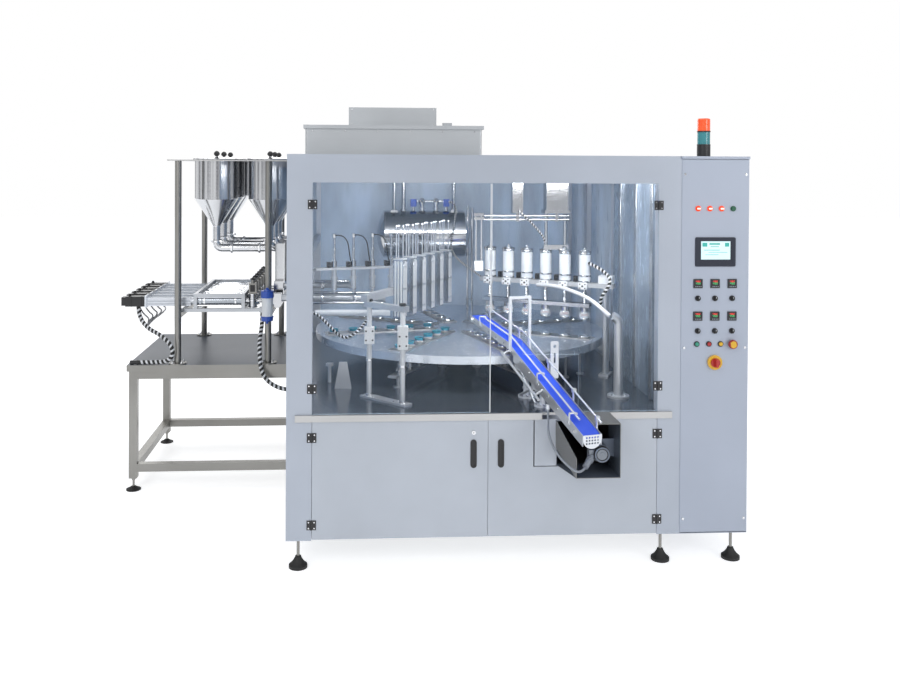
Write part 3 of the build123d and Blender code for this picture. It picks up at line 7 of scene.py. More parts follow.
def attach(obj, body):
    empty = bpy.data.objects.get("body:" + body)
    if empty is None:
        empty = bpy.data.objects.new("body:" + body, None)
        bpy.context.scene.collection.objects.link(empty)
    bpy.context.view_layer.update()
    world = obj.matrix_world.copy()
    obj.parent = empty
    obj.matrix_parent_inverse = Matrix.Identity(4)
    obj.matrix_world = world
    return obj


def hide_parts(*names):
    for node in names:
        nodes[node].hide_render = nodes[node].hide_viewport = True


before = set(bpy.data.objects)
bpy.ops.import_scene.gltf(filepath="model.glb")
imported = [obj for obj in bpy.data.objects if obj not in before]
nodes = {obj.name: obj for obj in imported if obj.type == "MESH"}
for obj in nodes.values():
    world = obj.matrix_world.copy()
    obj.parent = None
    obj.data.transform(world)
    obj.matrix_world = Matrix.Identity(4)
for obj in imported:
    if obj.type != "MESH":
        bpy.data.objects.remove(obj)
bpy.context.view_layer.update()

# Sizes that the part's source names too, in cabinet millimetres: x to the right, y to the back, z up
LEFT, FRONT = -618.5, -976.2273
DECK = 800
LEFT_HINGE, RIGHT_HINGE = 130, 1920
DOOR_SPLIT, DOOR_TOP, CUTOUT_TOP = 1045, 1982, 1325
LEFT_HANDLE_X, RIGHT_HANDLE_X, LOCK_Z = 959, 1101, 701
DISC_X, DISC_Y, DISC_TOP = 1024, 1309, 1012
CUP_RADII = [219 + 125 * i for i in range(6)]
DISCHARGE_ROW, SEAL_ROW, MAGAZINE_ROW, NOZZLE_ROW = -75, -30, -120, -165
SEAL_BEAM, SEAL_OUT, TUBE_BOTTOM, TUBE_TOP = 1330, 980, 1356.2, 1541.2
HEAD_BOTTOM, MAGAZINE_BOTTOM, MAGAZINE_TOP = 1130, 1200, 1530
NOZZLE_TOP, NOZZLE_BEAM, NOZZLE_BOTTOM = 1640, 1415, 1285
STAND_POSTS, STAND_CLAMPS, STAND_TOP = ((424, 348), (600, 176)), (1096, 1098), 1326
TANK_X, TANK_Y, TANK_Z, TANK_RADIUS = 832, 1960, 1574, 170
TANK_TOP = TANK_Z + TANK_RADIUS
LANE_ANGLE, LANE_BEND, LANE_START, LANE_END = 15, 880, 330, 1730
BEND_Z, START_Z, END_Z = 1078, 1140, 799
PLATE_SIDE, GUIDE_SIDE, GUIDE_RISE, INNER_SIDE, INNER_RISE = 51.3, 56.5, 50, -18, 24
MOTOR_X, MOTOR_Z = 1584, 632
PANEL_COLUMNS, LAMP_COLUMNS = (2129, 2220, 2311), (2127, 2189, 2251, 2313)
CONTROLLER_ROWS, SELECTOR_ROWS = (1465, 1295), (1388, 1218)
LAMP_Z, SCREEN_Z, BUTTON_Z, SWITCH_Z = 1856, 1630, 1150, 1054
STACK_X, STACK_Y, LENS_BOTTOM, LENS_MIDDLE = 2213, 150, 2193, 2260
DOSING_Z, VALVE_X, FILTER_X, FILTER_Y = 1186, -326, -216, 1161
SERVO_ROWS = [1330 + 130 * i for i in range(6)]
HOPPER_COLUMNS, HOPPER_ROWS = (-573, -224), (1400.5, 1710.5, 2020.5)
HOPPER_PLACES = [(x, y) for x in HOPPER_COLUMNS for y in HOPPER_ROWS]
OUTLET_END, CONE_BOTTOM, CONE_TOP, LID_KNOB = 1578, 1668, 1848, 2126
UP, DOWN, RIGHTWARD, OUTWARD = (0, 0, 1), (0, 0, -1), (1, 0, 0), (0, -1, 0)


def at(x, y, z=0.0):
    # Cabinet millimetres to the shared frame in metres
    return Vector(((LEFT + x) / 1000, (FRONT + y) / 1000, z / 1000))


def row_place(radius, side, angle, z):
    # A place over the disc, by its distance out along a station's row and to the side of it
    out, across = radians(angle), radians(angle + 90)
    x = DISC_X + radius * cos(out) + side * cos(across)
    return (x, DISC_Y + radius * sin(out) + side * sin(across), z)


def row_side(x, y, angle):
    # How far a place lies to the side of a station's row
    across = radians(angle + 90)
    return (x - DISC_X) * cos(across) + (y - DISC_Y) * sin(across)


def lane_place(radius, side, rise=0.0):
    # A place beside or over the outfeed belt, by its distance from the disc's middle
    lane = radians(LANE_ANGLE)
    if radius < LANE_BEND:
        height = BEND_Z + (START_Z - BEND_Z) * (LANE_BEND - radius) / (LANE_BEND - LANE_START)
    else:
        height = BEND_Z - (BEND_Z - END_Z) * (radius - LANE_BEND) / (LANE_END - LANE_BEND)
    x = DISC_X + radius * sin(lane) + side * cos(lane)
    return (x, DISC_Y - radius * cos(lane) + side * sin(lane), height + rise)


def circle_places(place, reach, turns):
    # Places on a level circle round a place, at turns in degrees
    x, y, z = place
    return [(x + reach * cos(radians(turn)), y + reach * sin(radians(turn)), z) for turn in turns]


# Camera: the photograph's own viewpoint, with its off-centre framing in pixels of the photograph
PHOTO_WIDTH, PHOTO_MIDDLE, AIM = 900, (450, 337.5), (415.15, 173.80)
yaw, pitch, roll = 0.060074, 0.009056, 0.005178
forward = Vector((sin(yaw) * cos(pitch), cos(yaw) * cos(pitch), -sin(pitch)))
upward = Vector((sin(yaw) * sin(pitch), cos(yaw) * sin(pitch), cos(pitch)))
right = Vector((cos(yaw), -sin(yaw), 0))
camera_right = right * cos(roll) + upward * sin(roll)
camera_up = upward * cos(roll) - right * sin(roll)
camera = bpy.data.objects.new("camera", bpy.data.cameras.new("camera"))
bpy.context.scene.collection.objects.link(camera)
camera.matrix_world = Matrix((camera_right, camera_up, -forward)).transposed().to_4x4()
camera.location = at(374.6, -4589.0, 2071.6)
camera.data.sensor_width = 36
camera.data.lens = 36
camera.data.shift_x = (PHOTO_MIDDLE[0] - AIM[0]) / PHOTO_WIDTH
camera.data.shift_y = (AIM[1] - PHOTO_MIDDLE[1]) / PHOTO_WIDTH
camera.data.clip_start = 0.05
camera.data.clip_end = 60
bpy.context.scene.camera = camera


# Materials
def add_node(tree, kind, **values):
    # A new shader node with its inputs set; an underscore stands for a space in an input's name
    made = tree.nodes.new(f"ShaderNode{kind}")
    for name, value in values.items():
        made.inputs[name.replace("_", " ")].default_value = value
    return made


def join(source, output, target, socket):
    # Links a node's output to another node's input, by their names or numbers
    target.id_data.links.new(source.outputs[output], target.inputs[socket])


def shader(name, color, rough=0.5, metal=0.0, bump=0.0, scale=120.0, stretch=(1, 1, 1), vary=0.06,
           rough_vary=0.08, coat=0.0, clear=0.0, glow=0.0, broad_scale=2.3, broad_stretch=(1, 1, 1)):
    # A principled material: broad noise varies its colour, fine noise its roughness and relief
    mat = bpy.data.materials.new(name)
    mat.use_nodes = True
    tree = mat.node_tree
    bsdf = tree.nodes["Principled BSDF"]
    for socket, value in (("Metallic", metal), ("Coat Weight", coat), ("Alpha", 1 - clear),
                          ("Emission Color", (*color, 1)), ("Emission Strength", glow)):
        bsdf.inputs[socket].default_value = value
    coords = add_node(tree, "TexCoord")

    def noise(size, detail, pull):
        # Noise in the object's own space, finer along the axes with a larger pull
        mapping = add_node(tree, "Mapping", Scale=pull)
        join(coords, "Object", mapping, "Vector")
        texture = add_node(tree, "TexNoise", Scale=size, Detail=detail)
        join(mapping, "Vector", texture, "Vector")
        return texture

    fine = noise(scale, 6, stretch)
    ramp = add_node(tree, "ValToRGB")
    for element, place, share in zip(ramp.color_ramp.elements, (0.3, 0.7), (1 - vary, 1 + vary)):
        element.position = place
        element.color = (*[min(1.0, c * share) for c in color], 1)
    join(noise(broad_scale, 3, broad_stretch), "Fac", ramp, "Fac")
    join(ramp, "Color", bsdf, "Base Color")
    low_rough, high_rough = max(0.02, rough - rough_vary), min(1.0, rough + rough_vary)
    spread = add_node(tree, "MapRange", To_Min=low_rough, To_Max=high_rough)
    join(fine, "Fac", spread, "Value")
    join(spread, "Result", bsdf, "Roughness")
    if bump:
        relief = add_node(tree, "Bump", Strength=bump, Distance=0.002)
        join(fine, "Fac", relief, "Height")
        join(relief, "Normal", bsdf, "Normal")
    return mat


UPRIGHT_GRAIN, LEVEL_GRAIN, DEEP_GRAIN = (60, 60, 1), (1, 60, 60), (1, 20, 1)


def brushed(name, color, rough, metal, vary, grain=UPRIGHT_GRAIN, bump=0.03, scale=60):
    return shader(name, color, rough, metal, bump, scale, grain, vary)


def plastic(name, color, rough=0.30, vary=0.08, bump=0.05, scale=300, coat=0.0, glow=0.0):
    return shader(name, color, rough, 0.0, bump, scale, vary=vary, coat=coat, glow=glow)


def see_through(name, color, rough, clear, vary, scale, stretch=(1, 1, 1)):
    return shader(name, color, rough, 0.0, 0.0, scale, stretch, vary, clear=clear)


panel_steel = brushed("brushed_panel_steel", (0.44, 0.48, 0.55), 0.42, 0.35, 0.04)
door_steel = brushed("door_steel", (0.45, 0.485, 0.54), 0.40, 0.45, 0.05)
skin_steel = brushed("skin_steel", (0.44, 0.47, 0.50), 0.38, 0.6, 0.06)
hood_steel = brushed("hood_steel", (0.50, 0.52, 0.54), 0.40, 0.5, 0.07, LEVEL_GRAIN, scale=80)
frame_steel = brushed("table_steel", (0.28, 0.275, 0.26), 0.36, 0.9, 0.10, bump=0.05)
level_steel = brushed("level_steel", (0.46, 0.46, 0.46), 0.32, 0.9, 0.08, LEVEL_GRAIN, 0.04)
light_steel = brushed("light_steel", (0.52, 0.54, 0.57), 0.30, 0.6, 0.06)
magazine_steel = brushed("magazine_steel", (0.42, 0.45, 0.49), 0.25, 0.8, 0.12, bump=0.04)
# Dark bluish steel: the conveyor motor's own paint, and painted shade on the faces inside the drive housing
motor_paint_and_housing_shade = brushed("motor_paint_and_housing_shade", (0.17, 0.20, 0.25), 0.35, 0.5, 0.15, LEVEL_GRAIN)
housing_steel = brushed("housing_steel", (0.24, 0.24, 0.235), 0.40, 0.5, 0.10, LEVEL_GRAIN)
table_top = brushed("table_top", (0.085, 0.10, 0.125), 0.35, 0.2, 0.12, DEEP_GRAIN)
table_top.node_tree.nodes["Principled BSDF"].inputs["Specular IOR Level"].default_value = 0.15
column_paint = shader("column_paint", (0.43, 0.475, 0.565), 0.45, 0.2, 0.02, 300, vary=0.03)
polished = shader("polished_steel", (0.58, 0.59, 0.61), 0.15, 1.0, 0.02, 30, (1, 1, 6), 0.08, 0.05)
chrome = shader("bright_steel", (0.72, 0.73, 0.75), 0.10, 1.0, 0.0, 40, vary=0.04, rough_vary=0.04)
rod_steel = shader("light_rod_steel", (0.74, 0.77, 0.82), 0.20, 0.35, 0.0, 40, vary=0.04)
dark_deck = shader("dark_deck", (0.12, 0.14, 0.17), 0.20, 0.7, 0.03, 90, DEEP_GRAIN, 0.18, coat=0.15)
# Darker bluish steel as painted shade: the chamber's inner right wall and the cup seats' pockets
painted_shade_steel = shader("painted_shade_steel", (0.36, 0.44, 0.54), 0.25, 0.6, 0.03, 12, (8, 8, 0.6), 0.25)
film_blue = shader("blue_film", (0.44, 0.58, 0.76), 0.30, 0.0, 0.25, 9, (4, 4, 0.8), 0.25, 0.10, 0.2, 0.28,
                   broad_scale=3.5, broad_stretch=(1.6, 1.6, 0.5))
disc_steel = shader("turned_disc_steel", (0.66, 0.71, 0.78), 0.24, 0.75, 0.04, 25, (3, 3, 1), 0.16, 0.10)
copper = shader("red_copper", (0.48, 0.13, 0.08), 0.28, 0.7, 0.03, 200, vary=0.12)
rubber = shader("black_rubber", (0.014, 0.014, 0.014), 0.62, 0.0, 0.15, 500, vary=0.2, rough_vary=0.12)
conduit_grey = shader("grey_conduit", (0.30, 0.33, 0.37), 0.40, 0.1, 0.05, 400, vary=0.08)
blue_part = shader("blue_valve_paint", (0.02, 0.08, 0.42), 0.32, 0.1, 0.05, 300, vary=0.1, coat=0.3)
lens_red = shader("red_lens", (0.90, 0.09, 0.015), 0.18, 0.0, 0.15, 30, (40, 40, 1), 0.25, 0.05, 0.5,
                  glow=0.45, broad_scale=14)
lens_teal = shader("teal_lens", (0.04, 0.26, 0.29), 0.18, 0.0, 0.15, 30, (40, 40, 1), 0.15, 0.05, 0.5)
black = plastic("black_plastic", (0.018, 0.018, 0.020), 0.42, 0.15, 0.12, 700)
bezel_blue = plastic("screen_bezel", (0.008, 0.012, 0.028), 0.5, 0.12, scale=500)
white_pom = plastic("white_plastic", (0.76, 0.78, 0.80), 0.35, 0.03, scale=400)
wrap_white = plastic("spiral_wrap", (0.74, 0.75, 0.77), 0.30, 0.05, scale=400, coat=0.3)
belt_blue = plastic("blue_belt", (0.02, 0.085, 0.72), 0.50, 0.12, 0.25, 1500)
cup_teal = plastic("teal_cup", (0.03, 0.30, 0.42), 0.45, 0.10, scale=500)
chocolate = plastic("chocolate", (0.085, 0.030, 0.012), 0.28, 0.15, 0.20, 60, 0.3)
green = plastic("green_button", (0.03, 0.30, 0.20), coat=0.3)
red = plastic("red_button", (0.42, 0.012, 0.014), coat=0.3)
knob_red = plastic("switch_red", (0.50, 0.02, 0.015), coat=0.3)
dark_red = plastic("dark_red_knob", (0.36, 0.014, 0.012), 0.32, 0.10, coat=0.3)
yellow = plastic("yellow_button", (0.80, 0.46, 0.02), vary=0.06, coat=0.3)
lamp_red = plastic("lit_lamp_rim", (0.85, 0.07, 0.02), 0.25, 0.05, 0.0, glow=0.5)
lamp_core = plastic("lit_lamp_core", (1.0, 0.72, 0.62), 0.25, 0.04, 0.0, glow=0.8)
lamp_green = plastic("dark_green_lamp", (0.015, 0.12, 0.06), 0.25, bump=0.0, coat=0.4)
digit_red = plastic("red_digits", (0.90, 0.06, 0.04), 0.35, 0.05, 0.0, glow=0.6)
digit_green = plastic("green_digits", (0.10, 0.65, 0.22), 0.35, 0.05, 0.0, glow=0.5)
screen_pale = plastic("lit_screen", (0.62, 0.80, 0.82), 0.20, 0.05, 0.0, 60, glow=0.45)
screen_teal = plastic("screen_tiles", (0.05, 0.42, 0.36), 0.25, 0.06, 0.0, 60, glow=0.3)
clear_pane = see_through("clear_pane", (0.22, 0.30, 0.38), 0.06, 0.96, 0.05, 25)
hazy_pane = see_through("hazy_pane", (0.25, 0.33, 0.42), 0.08, 0.95, 0.10, 25, (1, 1, 0.3))
pane_edge = see_through("pane_edge", (0.62, 0.74, 0.84), 0.15, 0.15, 0.08, 60)
clear_tube = see_through("clear_tube", (0.88, 0.92, 0.97), 0.10, 0.30, 0.06, 80, (1, 1, 8))
clear_hood = see_through("clear_hood", (0.80, 0.86, 0.92), 0.08, 0.72, 0.05, 80)


def near(x, y, place, reach):
    return (x - place[0]) ** 2 + (y - place[1]) ** 2 < reach ** 2


def dress(name, base, *others):
    # Gives a CAD node its base material, then repaints the faces whose middle, in cabinet millimetres,
    # and normal pass another material's test; a later material wins
    mesh = nodes[name].data
    mesh.materials.clear()
    for mat in (base, *[mat for mat, test in others]):
        mesh.materials.append(mat)
    for face in mesh.polygons:
        c = face.center
        place = (c.x * 1000 - LEFT, c.y * 1000 - FRONT, c.z * 1000)
        face.material_index = 0
        for index, (mat, test) in enumerate(others, 1):
            if test(*place, face.normal):
                face.material_index = index


# Nodes with one finish
for mat, names in (
        (panel_steel, "cabinet_frame"), (film_blue, "side_windows"), (hood_steel, "roof_hood"),
        (column_paint, "control_cabinet"), (frame_steel, "index_drive"), (disc_steel, "turntable_disc"),
        (level_steel, "cup_rows"), (rod_steel, "lane_fittings"), (belt_blue, "conveyor_belt"),
        (light_steel, "product_tubes deck_fixtures conveyor_frame tail_roller drive_roller"),
        (polished, "hoppers hopper_pipes"), (green, "start_button"), (red, "stop_button"),
        (yellow, "reset_button"), (knob_red, "main_switch_knob"),
        (black, " ".join(n for n in nodes if n.startswith("selector_")))):
    for name in names.split():
        dress(name, mat)

# Finish of the cabinet, its doors and the control column
HINGE_HALF, SCREW_OFF, SCREW_FACE = 25, 8, -4.02
PROUD = -0.01
# The inner right wall inside the chamber gets painted shade, a darker bluish steel
dress("cabinet_skins", skin_steel, (painted_shade_steel, lambda x, y, z, n: x > RIGHT_HINGE and z > DECK and y < 1001))
dress("deck_plate", dark_deck, (level_steel, lambda x, y, z, n: y < 1 or z < DECK - 1))
dress("levelling_feet", frame_steel, (rubber, lambda x, y, z, n: z < 26 or (z < 60 and x > 0)))
dress("door_hinges", black, (chrome, lambda x, y, z, n: y < SCREW_FACE and
                             min(abs(x - LEFT_HINGE), abs(x - RIGHT_HINGE)) > SCREW_OFF))
DOOR_SIDES = (("left", LEFT_HINGE, LEFT_HANDLE_X, hazy_pane),
              ("right", RIGHT_HINGE, RIGHT_HANDLE_X, clear_pane))


def on_lock(x, y, z, n):
    return y < PROUD and abs(x - LEFT_HANDLE_X) < 12 and z > LOCK_Z - 16


for side, pin, handle_x, pane in DOOR_SIDES:
    def on_hinge(x, y, z, n, pin=pin):
        return y < PROUD and abs(x - pin) < HINGE_HALF

    def on_handle(x, y, z, n, handle_x=handle_x):
        return y < PROUD and abs(x - handle_x) < 20

    def on_screw(x, y, z, n, pin=pin):
        return y < SCREW_FACE and SCREW_OFF < abs(x - pin) < HINGE_HALF

    dress(f"upper_{side}_door", pane, (pane_edge, lambda x, y, z, n: abs(n.y) < 0.5), (black, on_hinge),
          (chrome, on_screw))
    dress(f"lower_{side}_door", door_steel, (black, on_hinge), (black, on_handle), (chrome, on_screw),
          (chrome, on_lock))
dress("control_cover", column_paint, (chrome, lambda x, y, z, n: y < -3.02))
dress("stack_light", black, (lens_teal, lambda x, y, z, n: LENS_BOTTOM < z < LENS_MIDDLE),
      (lens_red, lambda x, y, z, n: z >= LENS_MIDDLE + 4))

# Finish of the instruments: screen and controllers, lamp rims and cores, the main switch's plate
dress("panel_instruments", bezel_blue, (black, lambda x, y, z, n: z < SCREEN_Z - 90),
      (lamp_red, lambda x, y, z, n: z > LAMP_Z - 56),
      (lamp_core, lambda x, y, z, n: any(near(x, z, (lamp, LAMP_Z), 5.5) for lamp in LAMP_COLUMNS)),
      (lamp_green, lambda x, y, z, n: z > LAMP_Z - 56 and x > LAMP_COLUMNS[3] - 20),
      (yellow, lambda x, y, z, n: z < SWITCH_Z + 42))
dress("emergency_button", dark_red,
      (yellow, lambda x, y, z, n: y < -31 and near(x, z, (PANEL_COLUMNS[2], BUTTON_Z), 15)))

# Finish of the turntable, its stations and the tank
dress("seal_station", light_steel,
      (clear_tube, lambda x, y, z, n: TUBE_BOTTOM - 1 < z < TUBE_TOP + 1 and
       abs(row_side(x, y, SEAL_ROW)) < 37),
      (polished, lambda x, y, z, n: z > TUBE_TOP + 1))
dress("seal_heads", polished, (copper, lambda x, y, z, n: HEAD_BOTTOM + 21 < z < HEAD_BOTTOM + 37))
dress("lid_magazine", magazine_steel, (chrome, lambda x, y, z, n: z > MAGAZINE_TOP + 1),
      (light_steel, lambda x, y, z, n: 1325 < z < 1367 and row_side(x, y, MAGAZINE_ROW) < -31.1))
dress("front_stand", light_steel,
      (white_pom, lambda x, y, z, n: 1095 < z < 1221 and any(near(x, y, post, 40) for post in STAND_POSTS)),
      (white_pom, lambda x, y, z, n: 99 < x < 556 and 840 < y < 913 and z < 1191))
dress("nozzle_bank", light_steel, (polished, lambda x, y, z, n: z > NOZZLE_BEAM + 15))
dress("holding_tank", polished, (blue_part, lambda x, y, z, n: z > TANK_TOP + 29 and abs(y - TANK_Y) < 23 and
                                 min(abs(x - TANK_X + 75), abs(x - TANK_X - 165)) < 23))

# Finish of the outfeed conveyor: painted shade, a darker bluish steel, on the faces inside its housing, steel
# like the doors on the housing's front
dress("drive_housing", housing_steel,
      (motor_paint_and_housing_shade, lambda x, y, z, n: x > 1390 and ((n.z > 0.5 and z < 540) or (n.x < -0.5 and x > 1655) or
                                                      (n.x > 0.5 and x < 1500) or (n.z < -0.5 and z > 780))),
      (door_steel, lambda x, y, z, n: x < 1391 and y > -3.1))
dress("conveyor_motor", motor_paint_and_housing_shade,
      (black, lambda x, y, z, n: near(x, z, (MOTOR_X, MOTOR_Z), 43) and -173 < y < -163.9),
      (conduit_grey, lambda x, y, z, n: x < MOTOR_X - 46))

# Finish of the dosing table and what stands on it
dress("dosing_table", frame_steel, (table_top, lambda x, y, z, n: z > DECK - 1))
dress("hopper_stand", frame_steel, (level_steel, lambda x, y, z, n: z > 2094))
for number in range(1, len(HOPPER_PLACES) + 1):
    dress(f"hopper_lid_{number}", polished, (black, lambda x, y, z, n: z > LID_KNOB))
dress("dosing_unit", light_steel,
      (magazine_steel, lambda x, y, z, n: -684 < x < -396 and abs(z - DOSING_Z) < 38 and
       any(abs(y - row) < 38 for row in SERVO_ROWS)))
dress("dosing_drives", rod_steel, (black, lambda x, y, z, n: x < -1012.9))
dress("valve_group", polished, (frame_steel, lambda x, y, z, n: z > DOSING_Z + 47 and x < -270),
      (blue_part, lambda x, y, z, n: near(x, y, (FILTER_X, FILTER_Y), 42)),
      (white_pom, lambda x, y, z, n: near(x, y, (FILTER_X, FILTER_Y), 35) and 1107 < z < 1231))


# Mesh building
class Form:
    # One piece's mesh, put together in cabinet millimetres from turned forms and boxes
    def __init__(self):
        self.mesh = bmesh.new()

    def skin(self, rings, closed=False):
        # Quads between neighbouring rings of points; a ring of one point makes a tip
        made = [[self.mesh.verts.new(p) for p in ring] for ring in rings]
        pairs = list(zip(made, made[1:])) + ([(made[-1], made[0])] if closed else [])
        for low, high in pairs:
            sides = max(len(low), len(high))
            for i in range(sides):
                j = (i + 1) % sides
                corners = (low[i % len(low)], low[j % len(low)], high[j % len(high)], high[i % len(high)])
                distinct = list(dict.fromkeys(corners))
                if len(distinct) > 2:
                    self.mesh.faces.new(distinct)
        return made

    def turned(self, place, axis, profile, sides=24, closed=False, lobes=0, lobe=0.0):
        # A turned form; the profile lists (distance along the axis, radius), lobes give it a grip
        spin = Vector(axis).normalized().to_track_quat("Z", "Y").to_matrix()
        rings = []
        for along, radius in profile:
            count = sides if radius else 1
            ring = []
            for i in range(count):
                turn = 2 * pi * i / count
                reach = radius * (1 + lobe * cos(lobes * turn))
                ring.append(at(*place) + spin @ Vector((reach * cos(turn), reach * sin(turn), along)) / 1000)
            rings.append(ring)
        self.skin(rings, closed)

    def ring(self, place, axis, profile, sides=24, lobes=0, lobe=0.0):
        # A turned form whose profile closes on itself
        self.turned(place, axis, profile, sides, True, lobes, lobe)

    def slab(self, middle, size, turn=0.0):
        # A box round its middle, turned about the upright
        spin = Matrix.Rotation(radians(turn), 3, "Z")
        dx, dy, dz = [s / 2000 for s in size]
        corners = ((-dx, -dy), (dx, -dy), (dx, dy), (-dx, dy))
        rings = [[at(*middle) + spin @ Vector((*corner, rise)) for corner in corners] for rise in (-dz, dz)]
        low, high = self.skin(rings)
        self.mesh.faces.new(list(reversed(low)))
        self.mesh.faces.new(high)

    def box(self, low, high):
        # A box between two corners
        self.slab([(a + b) / 2 for a, b in zip(low, high)], [b - a for a, b in zip(low, high)])

    def rod(self, start, end, radius, sides=16):
        # A round bar with eased ends between two places
        run = Vector(end) - Vector(start)
        ease = min(1.0, radius * 0.2)
        self.turned(start, run, [(0, 0), (0, radius - ease), (ease, radius), (run.length - ease, radius),
                                 (run.length, radius - ease), (run.length, 0)], sides)

    def screw(self, place, axis, r):
        # A socket head screw of radius r standing on a face
        self.turned(place, axis, [(0, r), (0.6 * r, r), (0.8 * r, 0.82 * r), (0.8 * r, 0.45 * r),
                                  (0.3 * r, 0.45 * r), (0.3 * r, 0)], 12)

    def nut(self, place, axis, r):
        # A hexagon nut of radius r with its bolt's end
        self.turned(place, axis, [(0, r), (0.75 * r, r), (0.85 * r, 0.86 * r), (0.85 * r, 0.5 * r)], 6)
        self.turned(place, axis, [(0, 0.5 * r), (1.3 * r, 0.5 * r), (1.4 * r, 0.4 * r), (1.4 * r, 0)], 12)

    def piece(self, name, material, slot="steel_polished", body="machine", bevel=0.0, smooth=True):
        # Makes the object, eases its edges and lets it ride on its body
        bmesh.ops.recalc_face_normals(self.mesh, faces=self.mesh.faces)
        data = bpy.data.meshes.new(name)
        self.mesh.to_mesh(data)
        self.mesh.free()
        made = bpy.data.objects.new(name, data)
        bpy.context.scene.collection.objects.link(made)
        data.materials.append(material)
        if bevel:
            easing = made.modifiers.new("eased_edges", "BEVEL")
            easing.width = bevel / 1000
            easing.segments = 2
            easing.angle_limit = radians(40)
        if smooth:
            data.shade_smooth()
            data.set_sharp_from_angle(angle=radians(35))
        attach(made, body)
        return made


# Cords and hoses
def smooth_line(name, points):
    # A NURBS curve with the route's points, given in cabinet millimetres, as its control points
    curve = bpy.data.curves.new(name, "CURVE")
    curve.dimensions = "3D"
    spline = curve.splines.new("NURBS")
    spline.points.add(len(points) - 1)
    for point, place in zip(spline.points, points):
        point.co = (*at(*place), 1)
    spline.order_u = 3
    spline.use_endpoint_u = True
    spline.resolution_u = 24
    return curve


def points_on(curve):
    # The line's own points, read from the curve while it has no bevel
    probe = bpy.data.objects.new("probe", curve)
    mesh = bpy.data.meshes.new_from_object(probe)
    places = [v.co.copy() for v in mesh.vertices]
    bpy.data.objects.remove(probe)
    bpy.data.meshes.remove(mesh)
    return places


def spiral_wrap(name, places, radius, pitch, width, thickness, material, slot):
    # A flat band wound round a line, carried along it without twist
    steps_a_turn = 14
    form = Form()
    normal = (places[1] - places[0]).orthogonal().normalized()
    rings, turn = [], 0.0
    for here, after in zip(places, places[1:]):
        run = after - here
        along = run.normalized()
        normal = (normal - along * normal.dot(along)).normalized()
        side = along.cross(normal)
        turns = run.length * 1000 / pitch
        parts = max(1, round(turns * steps_a_turn))
        for k in range(parts):
            place = here + run * k / parts
            out = normal * cos(turn) + side * sin(turn)
            low, high = out * radius / 1000, out * (radius + thickness) / 1000
            half = along * width / 2000
            rings.append([place + low - half, place + high - half, place + high + half, place + low + half])
            turn += 2 * pi * turns / parts
    made = form.skin(rings)
    form.mesh.faces.new(made[0])
    form.mesh.faces.new(list(reversed(made[-1])))
    return form.piece(name, material, slot)


def hose(name, points, diameter, material,
         wrap=None, extras=()):
    # A cord as one smooth tube with its spiral wrap
    curve = smooth_line(name, points)
    places = points_on(curve)
    curve.bevel_depth = diameter / 2000
    curve.bevel_resolution = 5
    curve.use_fill_caps = True
    curve.materials.append(material)
    piece = bpy.data.objects.new(name, curve)
    bpy.context.scene.collection.objects.link(piece)
    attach(piece, "machine")
    parts = list(extras)
    if wrap:
        parts.append(spiral_wrap(f"{name}_wrap", places, diameter / 2 - 0.4, *wrap))
    return piece


def white_wrap(pitch, width):
    return (pitch, width, 1.0, wrap_white, "white_plastic")


# The three cables of the part's own model, with the same points as its routes
connector = Form()
connector.turned((-1029, 1203, 814.5), (-1, 0, 0), [
    (0, 0), (0, 13.6), (4, 14.2), (10, 14.2), (12, 12), (30, 12),
    (32, 13.8), (50, 13.8), (53, 11), (53, 9), (46, 9), (46, 0)], 20, lobes=10, lobe=0.02)
connector = connector.piece("servo_bundle_connector", black, "black_plastic")
servo_bundle = hose("servo_bundle_cable", [
    (-1060, 1330, 1153.7), (-1060, 1330, 1092), (-992, 1272, 1020), (-890, 1212, 985), (-818, 1184, 925),
    (-806, 1176, 862), (-850, 1190, 820), (-935, 1206, 814), (-1030, 1203, 814.5)], 26, rubber,
    wrap=white_wrap(30, 13), extras=[connector])
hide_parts("servo_bundle")
valve_bundle = hose("valve_bundle_cable", [
    (-258, 1265, 1119.7), (-258, 1265, 1040), (-268, 1205, 960), (-262, 1158, 880), (-256, 1142, 790),
    (-222, 1138, 712), (-146, 1140, 660), (-53, 1150, 640), (36.7, 1150, 640)], 26, rubber,
    wrap=white_wrap(30, 13))
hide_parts("valve_bundle")
motor_conduit = hose("motor_conduit_hose", [
    (1335.6, -44.5, 829.6), (1335.6, -44.5, 777.9), (1327.6, -84.5, 715.9), (1347.6, -146.5, 649.9),
    (1387.6, -220.5, 603.9), (1456.6, -240.1, 557.1), (1490.1, -203.7, 582.8)], 12, conduit_grey,
    wrap=(4.2, 2.0, 0.9, conduit_grey, "motor_dark"))
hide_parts("motor_conduit")

# Leads of the other servo drives, which join the first drive's bundle
LEAD_X = -1085
for number, y in enumerate(SERVO_ROWS[1:], 2):
    hose(f"servo_lead_{number}", [
        (LEAD_X, y, 1153.4), (LEAD_X, y, 1122), (-1052, y - 18, 1090 - 4 * number),
        (-1014 + 3 * number, y - 60, 1070 - 5 * number), (-1004, 1346 + 5 * number, 1056 - 3 * number),
        (-992, 1290, 1024)], 9, rubber, wrap=white_wrap(16, 6))

